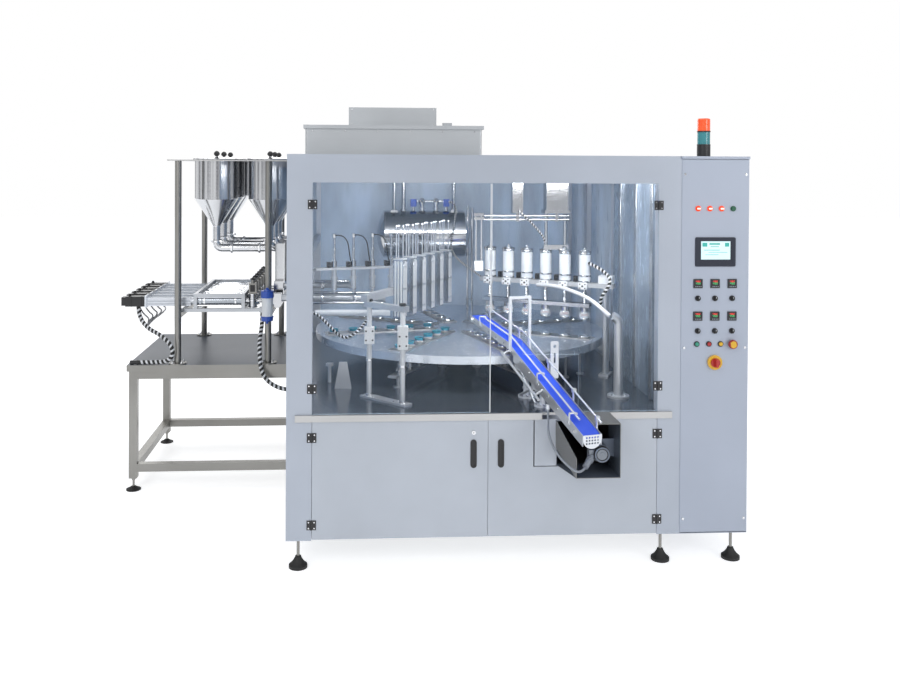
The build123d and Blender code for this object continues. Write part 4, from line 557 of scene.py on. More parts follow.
# Hoses over the turntable: from each filling riser's top to the riser before it, then the single ones
NOZZLE_DROP = ((9, 0, -10), (46, 4, -6), (84, 12, -44), (94, 20, -110), (99, 26, -150), (104, 28, -176))
for number, radius in enumerate(CUP_RADII[1:], 1):
    x, y, z = row_place(radius, 0, NOZZLE_ROW, NOZZLE_TOP)
    hose(f"nozzle_hose_{number}", [(x + dx, y + dy, z + dz) for dx, dy, dz in NOZZLE_DROP], 7, rubber)
hose("trough_hose", [
    (42, 800, 1200), (104, 792, 1196), (176, 770, 1135), (236, 752, 1072), (288, 742, 1046),
    (338, 742, 1072), (386, 760, 1112), (436, 844, 1174)], 16, rubber, wrap=white_wrap(22, 9))
hose("tank_valve_cable", [
    (1012, 1938, 1806), (1040, 1930, 1812), (1062, 1890, 1770), (1050, 1840, 1690), (1032, 1780, 1600),
    (1002, 1700, 1520), (1020, 1580, 1450), (1080, 1420, 1400), (1160, 1236, 1350)], 12, rubber,
    wrap=white_wrap(20, 8))
hose("duct_cable", [
    (1352, 935, 1795), (1376, 930, 1772), (1436, 935, 1716), (1500, 960, 1650), (1528, 985, 1600),
    (1532, 996, 1556)], 12, rubber, wrap=white_wrap(20, 8))
hose("riser_hose", [
    (1746, 293, 1248), (1704, 330, 1292), (1664, 450, 1326), (1612, 600, 1344), (1560, 780, 1348),
    (1512, 900, 1340), (1484, 1004, 1328)], 22, wrap_white)
hose("seal_bundle", [
    (1770, 838, 1480), (1800, 790, 1466), (1850, 740, 1430), (1868, 700, 1392), (1842, 690, 1340),
    (1806, 700, 1290), (1812, 716, 1236), (1836, 760, 1200), (1862, 800, 1184)], 20, rubber,
    wrap=white_wrap(26, 11))

# Control panel: the pale touch screen and its plain tiles
SCREEN_FACE, TILE_FACE = -9.4, -9.9
screen_x = PANEL_COLUMNS[1]
panel = Form()
panel.box((screen_x - 78, SCREEN_FACE, SCREEN_Z - 39), (screen_x + 78, -8.5, SCREEN_Z + 56))
panel.piece("touch_screen", screen_pale, "lamp_plastic", bevel=0.4)
tiles = Form()
for dx, dz, width, height in ((-58, 38, 26, 20), (60, 38, 22, 20), (-6, 42, 56, 8), (-6, 28, 44, 3),
                              (-20, 10, 84, 3), (12, -2, 100, 2), (-20, -14, 70, 2)):
    tiles.box((screen_x + dx - width / 2, TILE_FACE, SCREEN_Z + dz - height / 2),
              (screen_x + dx + width / 2, SCREEN_FACE, SCREEN_Z + dz + height / 2))
tiles.piece("screen_layout", screen_teal, "lamp_plastic")

# Controllers: seven-segment digits in their windows and keys under them
BARS = {"a": (0, 1, 1, 1), "b": (1, 0.5, 1, 1), "c": (1, 0, 1, 0.5), "d": (0, 0, 1, 0),
        "e": (0, 0, 0, 0.5), "f": (0, 0.5, 0, 1), "g": (0, 0.5, 1, 0.5)}
SEGMENTS = {"0": "abcdef", "2": "abged", "4": "fgbc", "5": "afgcd", "8": "abcdefg"}
DIGIT_WIDTH, DIGIT_HEIGHT, STROKE, DIGIT_FACE, DIGIT_STEP = 4.6, 8.4, 1.3, -9.5, 9


def digit(form, x, z, character):
    # A digit from its lit bars, standing on the controller's window
    for letter in SEGMENTS[character]:
        x0, z0, x1, z1 = BARS[letter]
        form.box((x + x0 * DIGIT_WIDTH, DIGIT_FACE - 0.5, z + z0 * DIGIT_HEIGHT),
                 (x + x1 * DIGIT_WIDTH + STROKE, DIGIT_FACE, z + z1 * DIGIT_HEIGHT + STROKE))


controllers = [(x, z) for z in CONTROLLER_ROWS for x in PANEL_COLUMNS]
for name, rise, text, mat in (("set_digits", -3.5, "450", digit_green),
                              ("value_digits", 7.5, "482", digit_red)):
    form = Form()
    for x, z in controllers:
        for place, character in enumerate(text):
            digit(form, x - 13 + DIGIT_STEP * place, z + rise, character)
    form.piece(f"controller_{name}", mat, "lamp_plastic", smooth=False)
keys = Form()
for x, z in controllers:
    for i in range(4):
        keys.slab((x - 13.5 + DIGIT_STEP * i, -11.3, z - 14.5), (5.5, 1.0, 4.5))
keys.piece("controller_keys", conduit_grey, "black_plastic", bevel=0.5)

# The cover's screw heads, the selectors' pointers, the emergency button's grip, the stack light's rings
heads = Form()
for x in (2058, 2382):
    for z in (237, 1130, 2035):
        heads.turned((x, -6, z), OUTWARD, [(0, 6.4), (0.8, 5.6), (0.8, 3.2), (0.1, 3.2), (0.1, 0)], 16)
heads.piece("cover_screw_heads", chrome)
for row, z in enumerate(SELECTOR_ROWS, 1):
    for column, x in enumerate(PANEL_COLUMNS, 1):
        pointer = Form()
        pointer.box((x - 1.1, -24.9, z + 1), (x + 1.1, -24.2, z + 9.5))
        pointer.piece(f"pointer_{row}_{column}", white_pom, "white_plastic", f"selector_{row}_{column}", 0.3)
grip = Form()
grip.ring((PANEL_COLUMNS[2], -15.2, BUTTON_Z), OUTWARD, [(0, 23.1), (2, 23.8), (9, 23.8), (11, 22.9)],
          72, 18, 0.012)
grip.piece("emergency_grip_ring", dark_red, "button_red", "emergency_button")
rings = Form()
for z, radius in ((2128, 35), (2190, 35.2), (2262, 35.2)):
    inner = radius - 1.5
    rings.ring((STACK_X, STACK_Y, z), UP, [(0.2, inner), (0.2, radius), (4, radius), (4, inner)], 40)
rings.piece("stack_light_rings", black, "black_plastic")

# Ball knobs of the hopper lids
BALL = 18
for number, (x, y) in enumerate(HOPPER_PLACES, 1):
    ball = Form()
    arc = [(BALL - BALL * cos(pi * i / 12), BALL * sin(pi * i / 12)) for i in range(1, 12)]
    ball.turned((x, y, LID_KNOB), UP, [(0, 0), *arc, (2 * BALL, 0)], 28)
    ball.piece(f"lid_ball_{number}", black, "black_plastic", f"hopper_lid_{number}")

# The lock's cylinder with its key drive, and the edge seals of the glass doors
lock = Form()
lock.turned((LEFT_HANDLE_X, -6, LOCK_Z), OUTWARD, [(0, 10.5), (1.2, 9.5), (1.2, 5), (0.2, 5), (0.2, 0)], 24)
lock.piece("lock_cylinder", chrome, body="lower_left_door")
key_drive = Form()
key_drive.turned((LEFT_HANDLE_X, -6.1, LOCK_Z), OUTWARD, [(0.2, 4.4), (1.6, 4.0), (1.6, 0)], 3)
key_drive.piece("lock_key_drive", black, "black_plastic", "lower_left_door")
for door, x0, x1, bottom in (("upper_left_door", -5.5, -0.3, DECK + 4),
                            ("upper_right_door", 1.6, 5, CUTOUT_TOP + 2)):
    seal = Form()
    seal.box((DOOR_SPLIT + x0, -1.2, bottom), (DOOR_SPLIT + x1, -0.1, DOOR_TOP - 1))
    seal.piece(f"{door}_edge_seal", white_pom, "white_plastic", door, bevel=0.4)

# Roof: a plate over the fan box's slotted front, and the screws of the hood and of that plate
plate = Form()
plate.box((306, 527.6, 2292), (800, 529.8, 2399))
plate.piece("fan_box_panel", hood_steel, "steel_frame", bevel=0.8)
roof = Form()
for i in range(6):
    roof.screw((113 + 176 * i, 299.8, 2258), OUTWARD, 4)
for x, z in ((322, 2306), (784, 2306), (322, 2386), (784, 2386)):
    roof.screw((x, 527.6, z), OUTWARD, 3.5)
roof.piece("hood_screws", chrome)

# Bolts of the flanges and base plates on the deck and the table
bolts = Form()
for x in (-787, -216):
    for y in (1223, 2198):
        for place in circle_places((x, y, DECK + 8), 41, (45, 135, 225, 315)):
            bolts.nut(place, UP, 8)
for place in circle_places((1797, 293, DECK + 12), 46, (30, 120, 210, 300)):
    bolts.nut(place, UP, 7)
first_post, last_post = [Vector((*post, DECK + 10)) for post in STAND_POSTS]
run = (last_post - first_post).normalized()
across_run = Vector((-run.y, run.x, 0))
for along in (-150, -75, 75, 150):
    for side in (-19, 19):
        bolts.screw((first_post + last_post) / 2 + run * along + across_run * side, UP, 6)
for radius in (1025, 1225):
    x, y, z = lane_place(radius, 0)
    for place in circle_places((x, y, DECK + 10), 32, (0, 90, 180, 270)):
        bolts.nut(place, UP, 6)
for x, y in ((1500, 700), (1610, 760), (1720, 850)):
    for place in circle_places((x, y, DECK + 8), 15, (60, 180, 300)):
        bolts.screw(place, UP, 3.5)
bolts.piece("deck_and_table_bolts", chrome)

# Outfeed: screws along both side plates, clamp blocks on the guide rods, braces and roller nuts
side_dir = Vector((cos(radians(LANE_ANGLE)), sin(radians(LANE_ANGLE)), 0))
screws = Form()
for radius in range(LANE_START + 70, LANE_END - 40, 110):
    for side in (-PLATE_SIDE - 0.1, PLATE_SIDE + 0.1):
        screws.screw(lane_place(radius, side, -16), side_dir * side, 5)
screws.piece("side_plate_screws", chrome)
clamps = Form()
for radius in (LANE_START + 60, LANE_BEND - 60, 1185, 1465, LANE_END - 30):
    clamps.slab(lane_place(radius, GUIDE_SIDE, GUIDE_RISE), (22, 18, 22), LANE_ANGLE)
for radius in (LANE_START + 150, 1265, LANE_END - 110):
    clamps.slab(lane_place(radius, INNER_SIDE, INNER_RISE + 6), (16, 18, 10), LANE_ANGLE)
clamps.piece("guide_rod_clamps", light_steel, bevel=2.5)
braces = Form()
RAIL_SIDE, RAIL_RISE = -96, -40
for side in (-38, 38):
    for top, bottom in ((1006, 1222), (1222, 1030)):
        braces.rod(lane_place(top, side, -62), (*lane_place(bottom, side)[:2], DECK + 16), 7)
for radius in (930, 1330):
    braces.rod(lane_place(radius, -50, -16), lane_place(radius, RAIL_SIDE, RAIL_RISE), 6)
braces.rod(lane_place(905, RAIL_SIDE, RAIL_RISE), lane_place(1375, RAIL_SIDE, RAIL_RISE), 8)
braces.piece("support_braces", light_steel)
tension = Form()
for side in (-1, 1):
    tension.nut(lane_place(LANE_END - 55, side * PLATE_SIDE, -20), side_dir * side, 9)
    tension.nut(lane_place(LANE_START + 25, side * PLATE_SIDE, -16), side_dir * side, 7)
tension.piece("roller_tension_nuts", chrome)

# Conveyor motor: cooling fins, the fan cover's rim and its end disc
fins = Form()
for y in range(-150, -40, 12):
    fins.ring((MOTOR_X, y, MOTOR_Z), (0, 1, 0), [(0, 41), (0, 44.5), (3, 44.5), (3, 41)], 40)
fins.ring((MOTOR_X, -172.1, MOTOR_Z), OUTWARD, [(0, 38.5), (2.4, 37.5), (2.4, 31), (0.2, 30)], 40)
fins.piece("motor_fins", motor_paint_and_housing_shade, "motor_dark")
disc = Form()
disc.turned((MOTOR_X, -171, MOTOR_Z), OUTWARD, [(0, 26), (1.2, 25), (1.2, 14), (3.6, 12), (3.6, 5), (2, 5),
                                                (2, 0)], 30)
disc.piece("motor_end_disc", conduit_grey, "motor_dark")

# Sealing station: clamp blocks under the clear tubes, their screws, sensors between them, tube collars
blocks, holes, sensors, collars = Form(), Form(), Form(), Form()
front_dir = Vector((-cos(radians(SEAL_ROW + 90)), -sin(radians(SEAL_ROW + 90)), 0))
COLLAR = [(0, 36.2), (0, 38.4), (2, 39), (8, 39), (10, 38.4), (10, 36.2)]
for radius in CUP_RADII:
    blocks.slab(row_place(radius, -40, SEAL_ROW, SEAL_BEAM + 8), (56, 17, 42), SEAL_ROW)
    for along, rise in ((-16, 12), (16, 12), (-16, -12), (16, -12), (0, 0)):
        place = row_place(radius + along, -48.4, SEAL_ROW, SEAL_BEAM + 8 + rise)
        holes.screw(place, front_dir, 4.2 if along else 6)
    for z in (TUBE_BOTTOM + 1, TUBE_BOTTOM + 38, TUBE_TOP - 12):
        collars.ring(row_place(radius, 0, SEAL_ROW, z), UP, COLLAR, 40)
    collars.turned(row_place(radius, 0, SEAL_ROW, TUBE_TOP + 10), UP,
                   [(0, 0), (0, 28), (5, 26), (7, 12), (20, 10), (20, 0)], 24)
for radius in CUP_RADII[:-1]:
    sensors.slab(row_place(radius + 62, 20, SEAL_ROW, SEAL_BEAM + 44), (24, 26, 36), SEAL_ROW)
blocks.piece("tube_clamp_blocks", white_pom, "white_plastic", bevel=3)
holes.piece("clamp_block_screws", black, "black_plastic")
sensors.piece("tube_sensors", black, "black_plastic", bevel=2)
collars.piece("tube_collars", chrome)
end_box = Form()
end_box.slab(row_place(SEAL_OUT, 0, SEAL_ROW, SEAL_BEAM + 52), (86, 66, 50), SEAL_ROW)
end_box.piece("beam_end_box", white_pom, "white_plastic", bevel=4)

# Lid picker that hangs from the gantry's two bars
PICKER_X, PICKER_Y, PICKER_BOTTOM = 1105, 957, 1424
picker = Form()
for x in (PICKER_X - 17, PICKER_X + 17):
    picker.rod((x, PICKER_Y, PICKER_BOTTOM), (x, PICKER_Y, 1776), 8)
    picker.turned((x, PICKER_Y, PICKER_BOTTOM), UP, [(0, 8), (0, 13), (14, 13), (18, 8)], 20)
for z in (1747, 1771):
    picker.slab((PICKER_X, PICKER_Y, z), (62, 26, 20))
picker.piece("picker_rods", chrome, bevel=1)
picker = Form()
picker.slab((PICKER_X, PICKER_Y, PICKER_BOTTOM + 28), (54, 34, 62))
picker.piece("picker_block", white_pom, "white_plastic", bevel=3)

# Sealing heads: a spring, a lower lip and a clear hood on every head, moving with the heads
springs, hoods = Form(), Form()
COIL = [(0, 10.3), (1.5, 14.5), (3, 15), (4.5, 14.5), (6, 10.3)]
for radius in CUP_RADII:
    for i in range(9):
        springs.ring(row_place(radius, 0, SEAL_ROW, HEAD_BOTTOM + 102 + 7.5 * i), UP, COIL, 20)
    springs.ring(row_place(radius, 0, SEAL_ROW, HEAD_BOTTOM), UP,
                 [(0, 24), (0, 30), (4, 30.5), (8, 30), (10, 29)], 36)
    hoods.ring(row_place(radius, 0, SEAL_ROW, HEAD_BOTTOM + 11), UP,
               [(0, 32), (0, 34), (22, 33), (34, 27), (40, 23.5), (40, 22.2), (33, 25.5), (21, 31)], 36)
springs.piece("seal_head_springs", chrome, body="seal_heads")
hoods.piece("seal_head_hoods", clear_hood, "clear_sheet", "seal_heads")

# Turntable: seat rings, dark discs of painted shade in every cup place, filled cups in two rows, and screws
seats, seat_shade_discs, cups, filling, rims = Form(), Form(), Form(), Form(), Form()
STATIONS = 8
SEAT_Z = DISC_TOP + 13
CUP = [(0.8, 22), (13, 27.5), (15, 29.5), (16.5, 29.5), (16.5, 26.5), (11, 25.5), (1.5, 20.5)]
for station in range(STATIONS):
    angle = DISCHARGE_ROW + 360 / STATIONS * station
    for radius in CUP_RADII:
        place = row_place(radius, 0, angle, SEAT_Z)
        seats.ring(place, UP, [(0, 28), (0, 36.5), (2.4, 35.5), (3, 32), (2.4, 28)], 32)
        # Painted shade: a thin dark disc where the seat's pocket lies
        seat_shade_discs.turned(place, UP, [(0.2, 28), (0.6, 27), (0.6, 0)], 32)
        if angle - 360 in (MAGAZINE_ROW, NOZZLE_ROW):
            cups.ring(place, UP, CUP, 32)
            filling.turned(place, UP, [(11.4, 25.8), (12.6, 20), (12.2, 0)], 32)
    for radius, rise in ((165, 5), (903, 0)):
        for side in (-36, 36):
            rims.screw(row_place(radius, side, angle, DISC_TOP + rise), UP, 5)
seats.piece("cup_seat_rings", chrome, body="turntable")
seat_shade_discs.piece("cup_seat_shade_discs", painted_shade_steel, "steel_frame", "turntable")
cups.piece("cups", cup_teal, "skin_blue", "turntable")
filling.piece("cup_filling", chocolate, "motor_dark", "turntable")
rims.piece("turntable_screws", chrome, body="turntable")

# Lifters under the disc: a bar of short air cylinders below the magazine and beside the outfeed
bars, cylinders = Form(), Form()
LIFTER = [(0, 0), (0, 17), (6, 17), (7, 14), (50, 14), (51, 17), (58, 17), (60, 8), (66, 8), (66, 5), (84, 5),
          (84, 10), (92, 10), (93, 0)]
for angle in (MAGAZINE_ROW, DISCHARGE_ROW + 6):
    bars.slab(row_place(560, 0, angle, 872), (760, 54, 12), angle)
    for radius in (250, 860):
        foot = row_place(radius, 0, angle, DECK)
        bars.rod(foot, row_place(radius, 0, angle, 868), 11)
        bars.turned(foot, UP, [(0, 0), (0, 30), (7, 30), (8, 12), (8, 0)], 24)
    for radius in CUP_RADII:
        cylinders.turned(row_place(radius, 0, angle, 878), UP, LIFTER, 24)
        for side in (-14, 14):
            cylinders.turned(row_place(radius + 8, side, angle, 890), UP,
                             [(0, 0), (0, 3.5), (10, 3.5), (12, 2.2), (18, 2.2), (18, 0)], 10)
bars.piece("lifter_bars", light_steel, bevel=1.5)
cylinders.piece("lifter_cylinders", polished)

# Lid magazine: caps, retaining plates and upright guides on its columns, and tips on its rods
caps, plates, guides, tips = Form(), Form(), Form(), Form()
GUIDE_FOOT = MAGAZINE_BOTTOM + 6
for radius in CUP_RADII:
    caps.slab(row_place(radius, 0, MAGAZINE_ROW, MAGAZINE_TOP + 4), (50, 66, 8), MAGAZINE_ROW)
    for rise, sides in ((40, (33.2, -33.2)), (165, (33.2,)), (290, (33.2, -33.2))):
        for side in sides:
            middle = row_place(radius, side, MAGAZINE_ROW, MAGAZINE_BOTTOM + rise)
            plates.slab(middle, (50, 4, 14), MAGAZINE_ROW)
    for along, top in ((-15, 1518), (0, 1526), (15, 1510)):
        for side in (-31, 31):
            guides.rod(row_place(radius + along, side, MAGAZINE_ROW, GUIDE_FOOT),
                       row_place(radius + along, side, MAGAZINE_ROW, top), 5.6, 12)
    for turn in (90, 210, 330):
        along, side = 16 * cos(radians(turn)), 24 * sin(radians(turn)) - 6
        tips.turned(row_place(radius + along, side, MAGAZINE_ROW, 1716), UP,
                    [(0, 4.1), (1, 5.6), (8, 5.6), (10.9, 4), (10.9, 0)], 16)
for side in (-19, 0, 19):
    guides.rod(row_place(CUP_RADII[-1] + 23, side, MAGAZINE_ROW, GUIDE_FOOT),
               row_place(CUP_RADII[-1] + 23, side, MAGAZINE_ROW, 1522), 6.2, 12)
guides.piece("magazine_guides", light_steel)
caps.piece("magazine_caps", light_steel, bevel=2)
plates.piece("magazine_plates", chrome, bevel=1)
tips.piece("magazine_rod_tips", chrome)

# Front stand: clamp screws, knobs on top of the posts, and collars round them
knobs, post_collars = Form(), Form()
for (x, y), z in zip(STAND_POSTS, STAND_CLAMPS):
    for dz in (20, 70):
        for dx in (-18, 18):
            knobs.screw((x + dx, y - 23, z + dz), OUTWARD, 5)
    knobs.turned((x, y, STAND_TOP), UP, [(0, 0), (0, 17), (6, 18), (14, 15), (16, 8), (16, 0)], 30, lobes=6,
                 lobe=0.10)
    post_collars.ring((x, y, 1000), UP, [(0, 14.2), (0, 18), (12, 18), (12, 14.2)], 28)
    post_collars.ring((x, y, DECK + 10), UP, [(0, 14.2), (0, 22), (10, 22), (14, 14.2)], 28)
knobs.piece("stand_knobs", black, "black_plastic")
post_collars.piece("stand_collars", chrome)

# Nozzle bank: top fittings, collars on the risers and small air valves on the beam
fittings, valves = Form(), Form()
for radius in CUP_RADII:
    fittings.ring(row_place(radius, 0, NOZZLE_ROW, NOZZLE_TOP - 26), UP,
                  [(0, 8.1), (2, 13), (24, 13), (26, 8.1)], 6)
    for z in (NOZZLE_BEAM + 56, NOZZLE_TOP - 100):
        fittings.ring(row_place(radius, 0, NOZZLE_ROW, z), UP, [(0, 8.1), (0, 12), (9, 12), (9, 8.1)], 20)
    fittings.ring(row_place(radius, 0, NOZZLE_ROW, NOZZLE_BOTTOM + 1), UP,
                  [(0, 17.1), (2, 20), (8, 20), (10, 17.1)], 28)
    valves.slab(row_place(radius + 34, 0, NOZZLE_ROW, NOZZLE_BEAM + 31), (22, 40, 34), NOZZLE_ROW)
fittings.piece("riser_fittings", chrome)
valves.piece("nozzle_air_valves", black, "black_plastic", bevel=2)

# Holding tank: end bands, star wheels and rings on its valves, and a rod between its actuators
tank = Form()
STAR = [(0, 0), (0, 12), (6, 13), (8, 25), (16, 26), (18, 12), (26, 9), (30, 8), (30, 0)]
for x in (TANK_X - 288, TANK_X + 284):
    tank.ring((x, TANK_Y, TANK_Z), RIGHTWARD, [(0, 169.5), (1, 172), (9, 172), (10, 169.5)], 96)
for dx in (-12, 90):
    tank.turned((TANK_X + dx, TANK_Y, TANK_TOP + 62), UP, STAR, 48, lobes=6, lobe=0.22)
    tank.ring((TANK_X + dx, TANK_Y, TANK_TOP + 12), UP, [(0, 15.1), (1, 26), (9, 26), (10, 15.1)], 32)
tank.rod((TANK_X - 62, TANK_Y - 8, TANK_TOP + 70), (TANK_X + 152, TANK_Y - 8, TANK_TOP + 70), 5)
tank.piece("tank_fittings", chrome)

# Two standing pipes beside the tank, with unions and base flanges
PIPE_Y = 1900
pipes = Form()
for x, top in ((1150, 1790), (1182, 1770)):
    pipes.rod((x, PIPE_Y, DECK + 4), (x, PIPE_Y, top), 9)
    for z in (1100, 1420, top - 40):
        pipes.ring((x, PIPE_Y, z), UP, [(0, 9.1), (2, 14), (12, 14), (14, 9.1)], 24)
    pipes.turned((x, PIPE_Y, DECK), UP, [(0, 0), (0, 26), (6, 26), (7, 10), (7, 0)], 24)
pipes.piece("standing_pipes", chrome)

# Cable trunks on the inner right wall, with clips
trunks = Form()
for y in (230, 520, 830):
    trunks.slab((1960, y, 1440), (14, 46, 1270))
    for z in range(880, 2001, 280):
        trunks.slab((1952.5, y, z), (3, 56, 16))
trunks.piece("wall_trunks", magazine_steel, "steel_frame", bevel=1.5)

# Product tubes: three thin rods beside them and couplings on them
tubes = Form()
for y, z, end in ((1252, 1246, 500), (1180, 1192, 520), (1366, 1306, 300)):
    tubes.rod((72, y, z), (end, y, z), 9)
for x, y, z, radius in ((120, 1205, 1222, 23), (330, 1205, 1222, 23), (120, 1330, 1284, 17.5)):
    tubes.ring((x, y, z), RIGHTWARD, [(0, radius), (0, radius + 7), (5, radius + 9), (13, radius + 9),
                                      (18, radius + 7), (18, radius)], 32)
tubes.piece("product_tube_rods", chrome)

# Hoppers: clamp rings with wing nuts at the outlets, weld beads and a ring under each cone
clampings = Form()
CLAMP = [(0, 25.2), (0, 31), (4, 39), (8, 39.5), (10, 37), (12, 39.5), (16, 39), (20, 31), (20, 25.2)]
WING_NUT = [(0, 0), (0, 5), (16, 5), (17, 9), (22, 9), (24, 3), (24, 0)]
for x, y in HOPPER_PLACES:
    clampings.ring((x, y, OUTLET_END - 18), UP, CLAMP, 40)
    clampings.turned((x + 36, y - 20, OUTLET_END - 8), OUTWARD, WING_NUT, 18, lobes=2, lobe=0.35)
    clampings.ring((x, y, CONE_TOP - 1.6), UP, [(0, 139.6), (1, 141), (3, 141), (4, 139.8)], 72)
    clampings.ring((x, y, CONE_BOTTOM - 4), UP, [(0, 25), (0, 26.6), (4, 27.4), (8, 26.6), (8, 25)], 40)
clampings.piece("hopper_clamps", chrome)
unions = Form()
for y in HOPPER_ROWS:
    for x in (-480, -300):
        unions.ring((x, y, 1524), RIGHTWARD, [(0, 25.1), (2, 33), (8, 34), (14, 33), (16, 25.1)], 32)
unions.piece("pipe_unions", chrome)

# Servo drives: bands, connectors, screws and dark strips of painted shade for the grooves along the spindle
# housings
bands, plugs, top_screws, groove_shade_strips = Form(), Form(), Form(), Form()
MOTOR_TOP, GROOVE_X, GROOVE_LENGTH = DOSING_Z + 32, -861, 270
for y in SERVO_ROWS:
    for x in (-1098, -1034):
        bands.slab((x, y, DOSING_Z), (5, 66, 66))
    plugs.turned((LEAD_X, y, DOSING_Z - 32), DOWN, [(-2, 0), (-2, 9), (0, 9.5), (3, 9.5), (4, 7), (4, 0)], 18)
    plugs.turned((-1118, y + 12, MOTOR_TOP), UP, [(-1, 0), (-1, 10), (6, 10), (8, 8), (14, 8), (15, 0)], 18)
    for side in (-26, 26):
        top_screws.screw((-1120, y + side, MOTOR_TOP), UP, 3)
    # Painted shade: thin dark strips on the housing where its grooves lie
    for side in (-16, 0, 16):
        groove_shade_strips.slab((GROOVE_X, y + side, DOSING_Z + 24.1), (GROOVE_LENGTH, 4, 0.8))
    for rise in (-16, 2):
        groove_shade_strips.slab((GROOVE_X, y - 26.1, DOSING_Z + rise), (GROOVE_LENGTH, 0.8, 4))
bands.piece("servo_bands", rubber, "black_plastic", bevel=1.5)
plugs.piece("servo_connectors", black, "black_plastic")
top_screws.piece("servo_screws", chrome)
groove_shade_strips.piece("spindle_groove_shade", conduit_grey, "steel_light")

# Dosing unit: tie rods and end rings round every cylinder, rings and caps on the valves
rods, valve_caps = Form(), Form()
VALVE_CAP = [(0, 0), (0, 16), (5, 17), (10, 15), (12, 6), (16, 6), (16, 0)]
for y in SERVO_ROWS:
    for dy, dz in ((-34, 26), (34, 26), (-34, -26), (34, -26)):
        rods.rod((-685, y + dy, DOSING_Z + dz), (-394, y + dy, DOSING_Z + dz), 4, 10)
    for x in (-640, -440):
        rods.ring((x, y, DOSING_Z), RIGHTWARD, [(0, 29.2), (0, 33), (10, 33), (10, 29.2)], 32)
    for rise, size in ((-44, 30), (2, 31), (40, 30)):
        rods.ring((VALVE_X, y, DOSING_Z + rise), UP, [(0, 27.1), (1, size), (6, size + 1), (8, 27.1)], 32)
    valve_caps.turned((VALVE_X, y, DOSING_Z + 136), UP, VALVE_CAP, 24, lobes=8, lobe=0.06)
    valve_caps.slab((VALVE_X, y - 23, DOSING_Z + 82), (30, 6, 44))
rods.piece("cylinder_tie_rods", chrome)
valve_caps.piece("valve_caps", black, "black_plastic", bevel=1)

# Water filter: ribbed rings and its end fittings
filter_parts = Form()
for z in (1104, 1230):
    filter_parts.ring((FILTER_X, FILTER_Y, z), UP, [(0, 34), (0, 39.5), (4, 40.5), (8, 39.5), (8, 34)],
                      40, 20, 0.012)
filter_parts.turned((FILTER_X, FILTER_Y, 1274), UP, [(0, 0), (0, 24), (6, 22), (8, 10), (18, 9), (18, 0)], 24)
filter_parts.turned((FILTER_X, FILTER_Y, 1084), DOWN, [(0, 0), (0, 22), (6, 20), (8, 9), (20, 8), (20, 0)],
                    24)
filter_parts.piece("filter_rings", blue_part, "belt_blue")


# Floor: pale, lit where the camera, a reflection or the glass sees it, and with the object's soft shadow
def join_seen_rays(target, socket):
    # Gives a node's input 1 for camera, glossy and transmission rays
    rays = add_node(target.id_data, "LightPath")
    total, output = rays, "Is Camera Ray"
    for name in ("Is Glossy Ray", "Is Transmission Ray"):
        larger = add_node(target.id_data, "Math")
        larger.operation = "MAXIMUM"
        join(total, output, larger, 0)
        join(rays, name, larger, 1)
        total, output = larger, "Value"
    join(total, output, target, socket)


FLOOR_HALF, FLOOR_LIFT = 30, 0.62
corners = [(x * FLOOR_HALF, y * FLOOR_HALF, 0) for x, y in ((-1, -1), (1, -1), (1, 1), (-1, 1))]
ground = bpy.data.meshes.new("ground")
ground.from_pydata(corners, [], [(0, 1, 2, 3)])
floor = bpy.data.objects.new("ground", ground)
bpy.context.scene.collection.objects.link(floor)
pale = shader("pale_floor", (0.80, 0.80, 0.80), 0.8, 0.0, 0.0, 30, vary=0.01)
glow_share = add_node(pale.node_tree, "Math")
glow_share.operation = "MULTIPLY"
glow_share.inputs[1].default_value = FLOOR_LIFT
join_seen_rays(glow_share, 0)
floor_shader = pale.node_tree.nodes["Principled BSDF"]
floor_shader.inputs["Emission Color"].default_value = (1, 1, 1, 1)
join(glow_share, "Value", floor_shader, "Emission Strength")
ground.materials.append(pale)


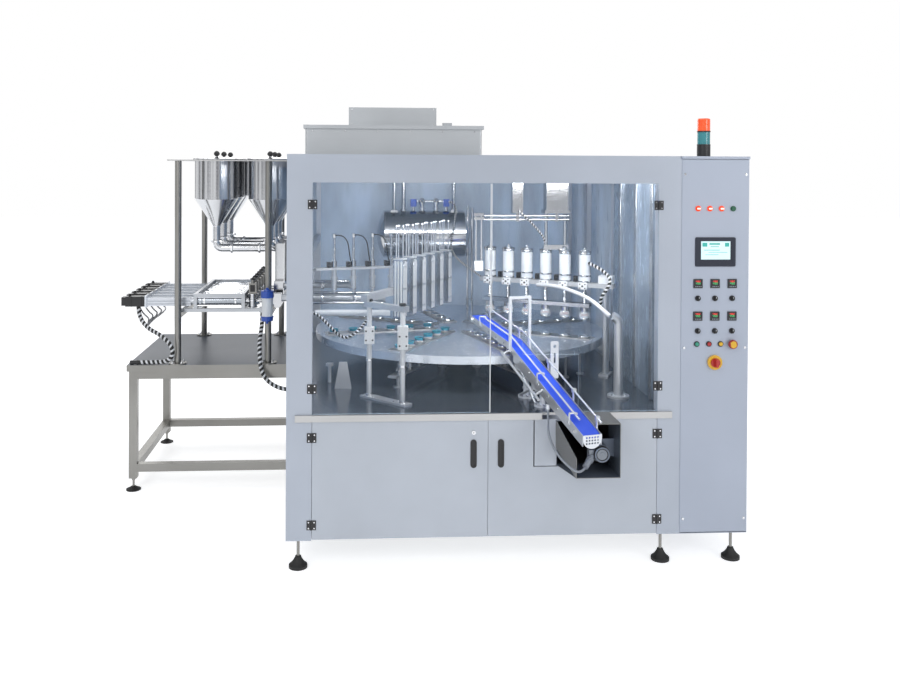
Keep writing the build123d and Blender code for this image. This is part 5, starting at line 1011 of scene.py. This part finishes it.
# Lights
def area_light(name, place, target, size, power):
    # A soft rectangular light that faces its target
    data = bpy.data.lights.new(name, "AREA")
    data.shape = "RECTANGLE"
    data.size, data.size_y = size
    data.energy = power
    lamp = bpy.data.objects.new(name, data)
    bpy.context.scene.collection.objects.link(lamp)
    lamp.location = place
    lamp.visible_camera = False
    lamp.rotation_mode = "QUATERNION"
    lamp.rotation_quaternion = (Vector(target) - Vector(place)).to_track_quat("-Z", "Y")


area_light("key", (-3.5, -6.5, 5.0), (0, 0, 1.2), (3, 3), 150)
area_light("fill", (5.0, -6.0, 3.2), (0, 0, 1.1), (2, 3), 90)
area_light("top", (0, 0.5, 6.5), (0, 0, 0), (5, 3), 110)
area_light("back", (-2.0, 6.0, 4.0), (0, 0, 1.2), (4, 3), 90)
area_light("chamber", at(DISC_X, 150, 2015), at(DISC_X, 1350, 900), (1.7, 0.12), 21)

# World: soft daylight, white where it is seen, and with broad dark bands for reflections on steel
world = bpy.data.worlds.new("studio")
bpy.context.scene.world = world
world.use_nodes = True
sky = world.node_tree
background = sky.nodes["Background"]
background.inputs["Color"].default_value = (0.92, 0.95, 1.0, 1)
background.inputs["Strength"].default_value = 0.55
paper = add_node(sky, "Background", Strength=1.0)
flatten = add_node(sky, "Mapping", Scale=(1, 1, 0.25))
streaks = add_node(sky, "TexNoise", Scale=3.4, Detail=2)
tones = add_node(sky, "ValToRGB")
for element, place, tone in zip(tones.color_ramp.elements, (0.40, 0.60), (0.22, 1.0)):
    element.position = place
    element.color = (tone, tone, min(1.0, tone * 1.06), 1)
join(add_node(sky, "TexCoord"), "Generated", flatten, "Vector")
join(flatten, "Vector", streaks, "Vector")
join(streaks, "Fac", tones, "Fac")
studio = add_node(sky, "Mix")
studio.data_type = "RGBA"
join(add_node(sky, "LightPath"), "Is Glossy Ray", studio, "Factor")
studio.inputs["A"].default_value = (1, 1, 1, 1)
join(tones, "Color", studio, "B")
join(studio, "Result", paper, "Color")
choose = add_node(sky, "MixShader")
join_seen_rays(choose, "Fac")
join(background, "Background", choose, 1)
join(paper, "Background", choose, 2)
join(choose, "Shader", sky.nodes["World Output"], "Surface")
bpy.context.scene.view_settings.view_transform = "Standard"
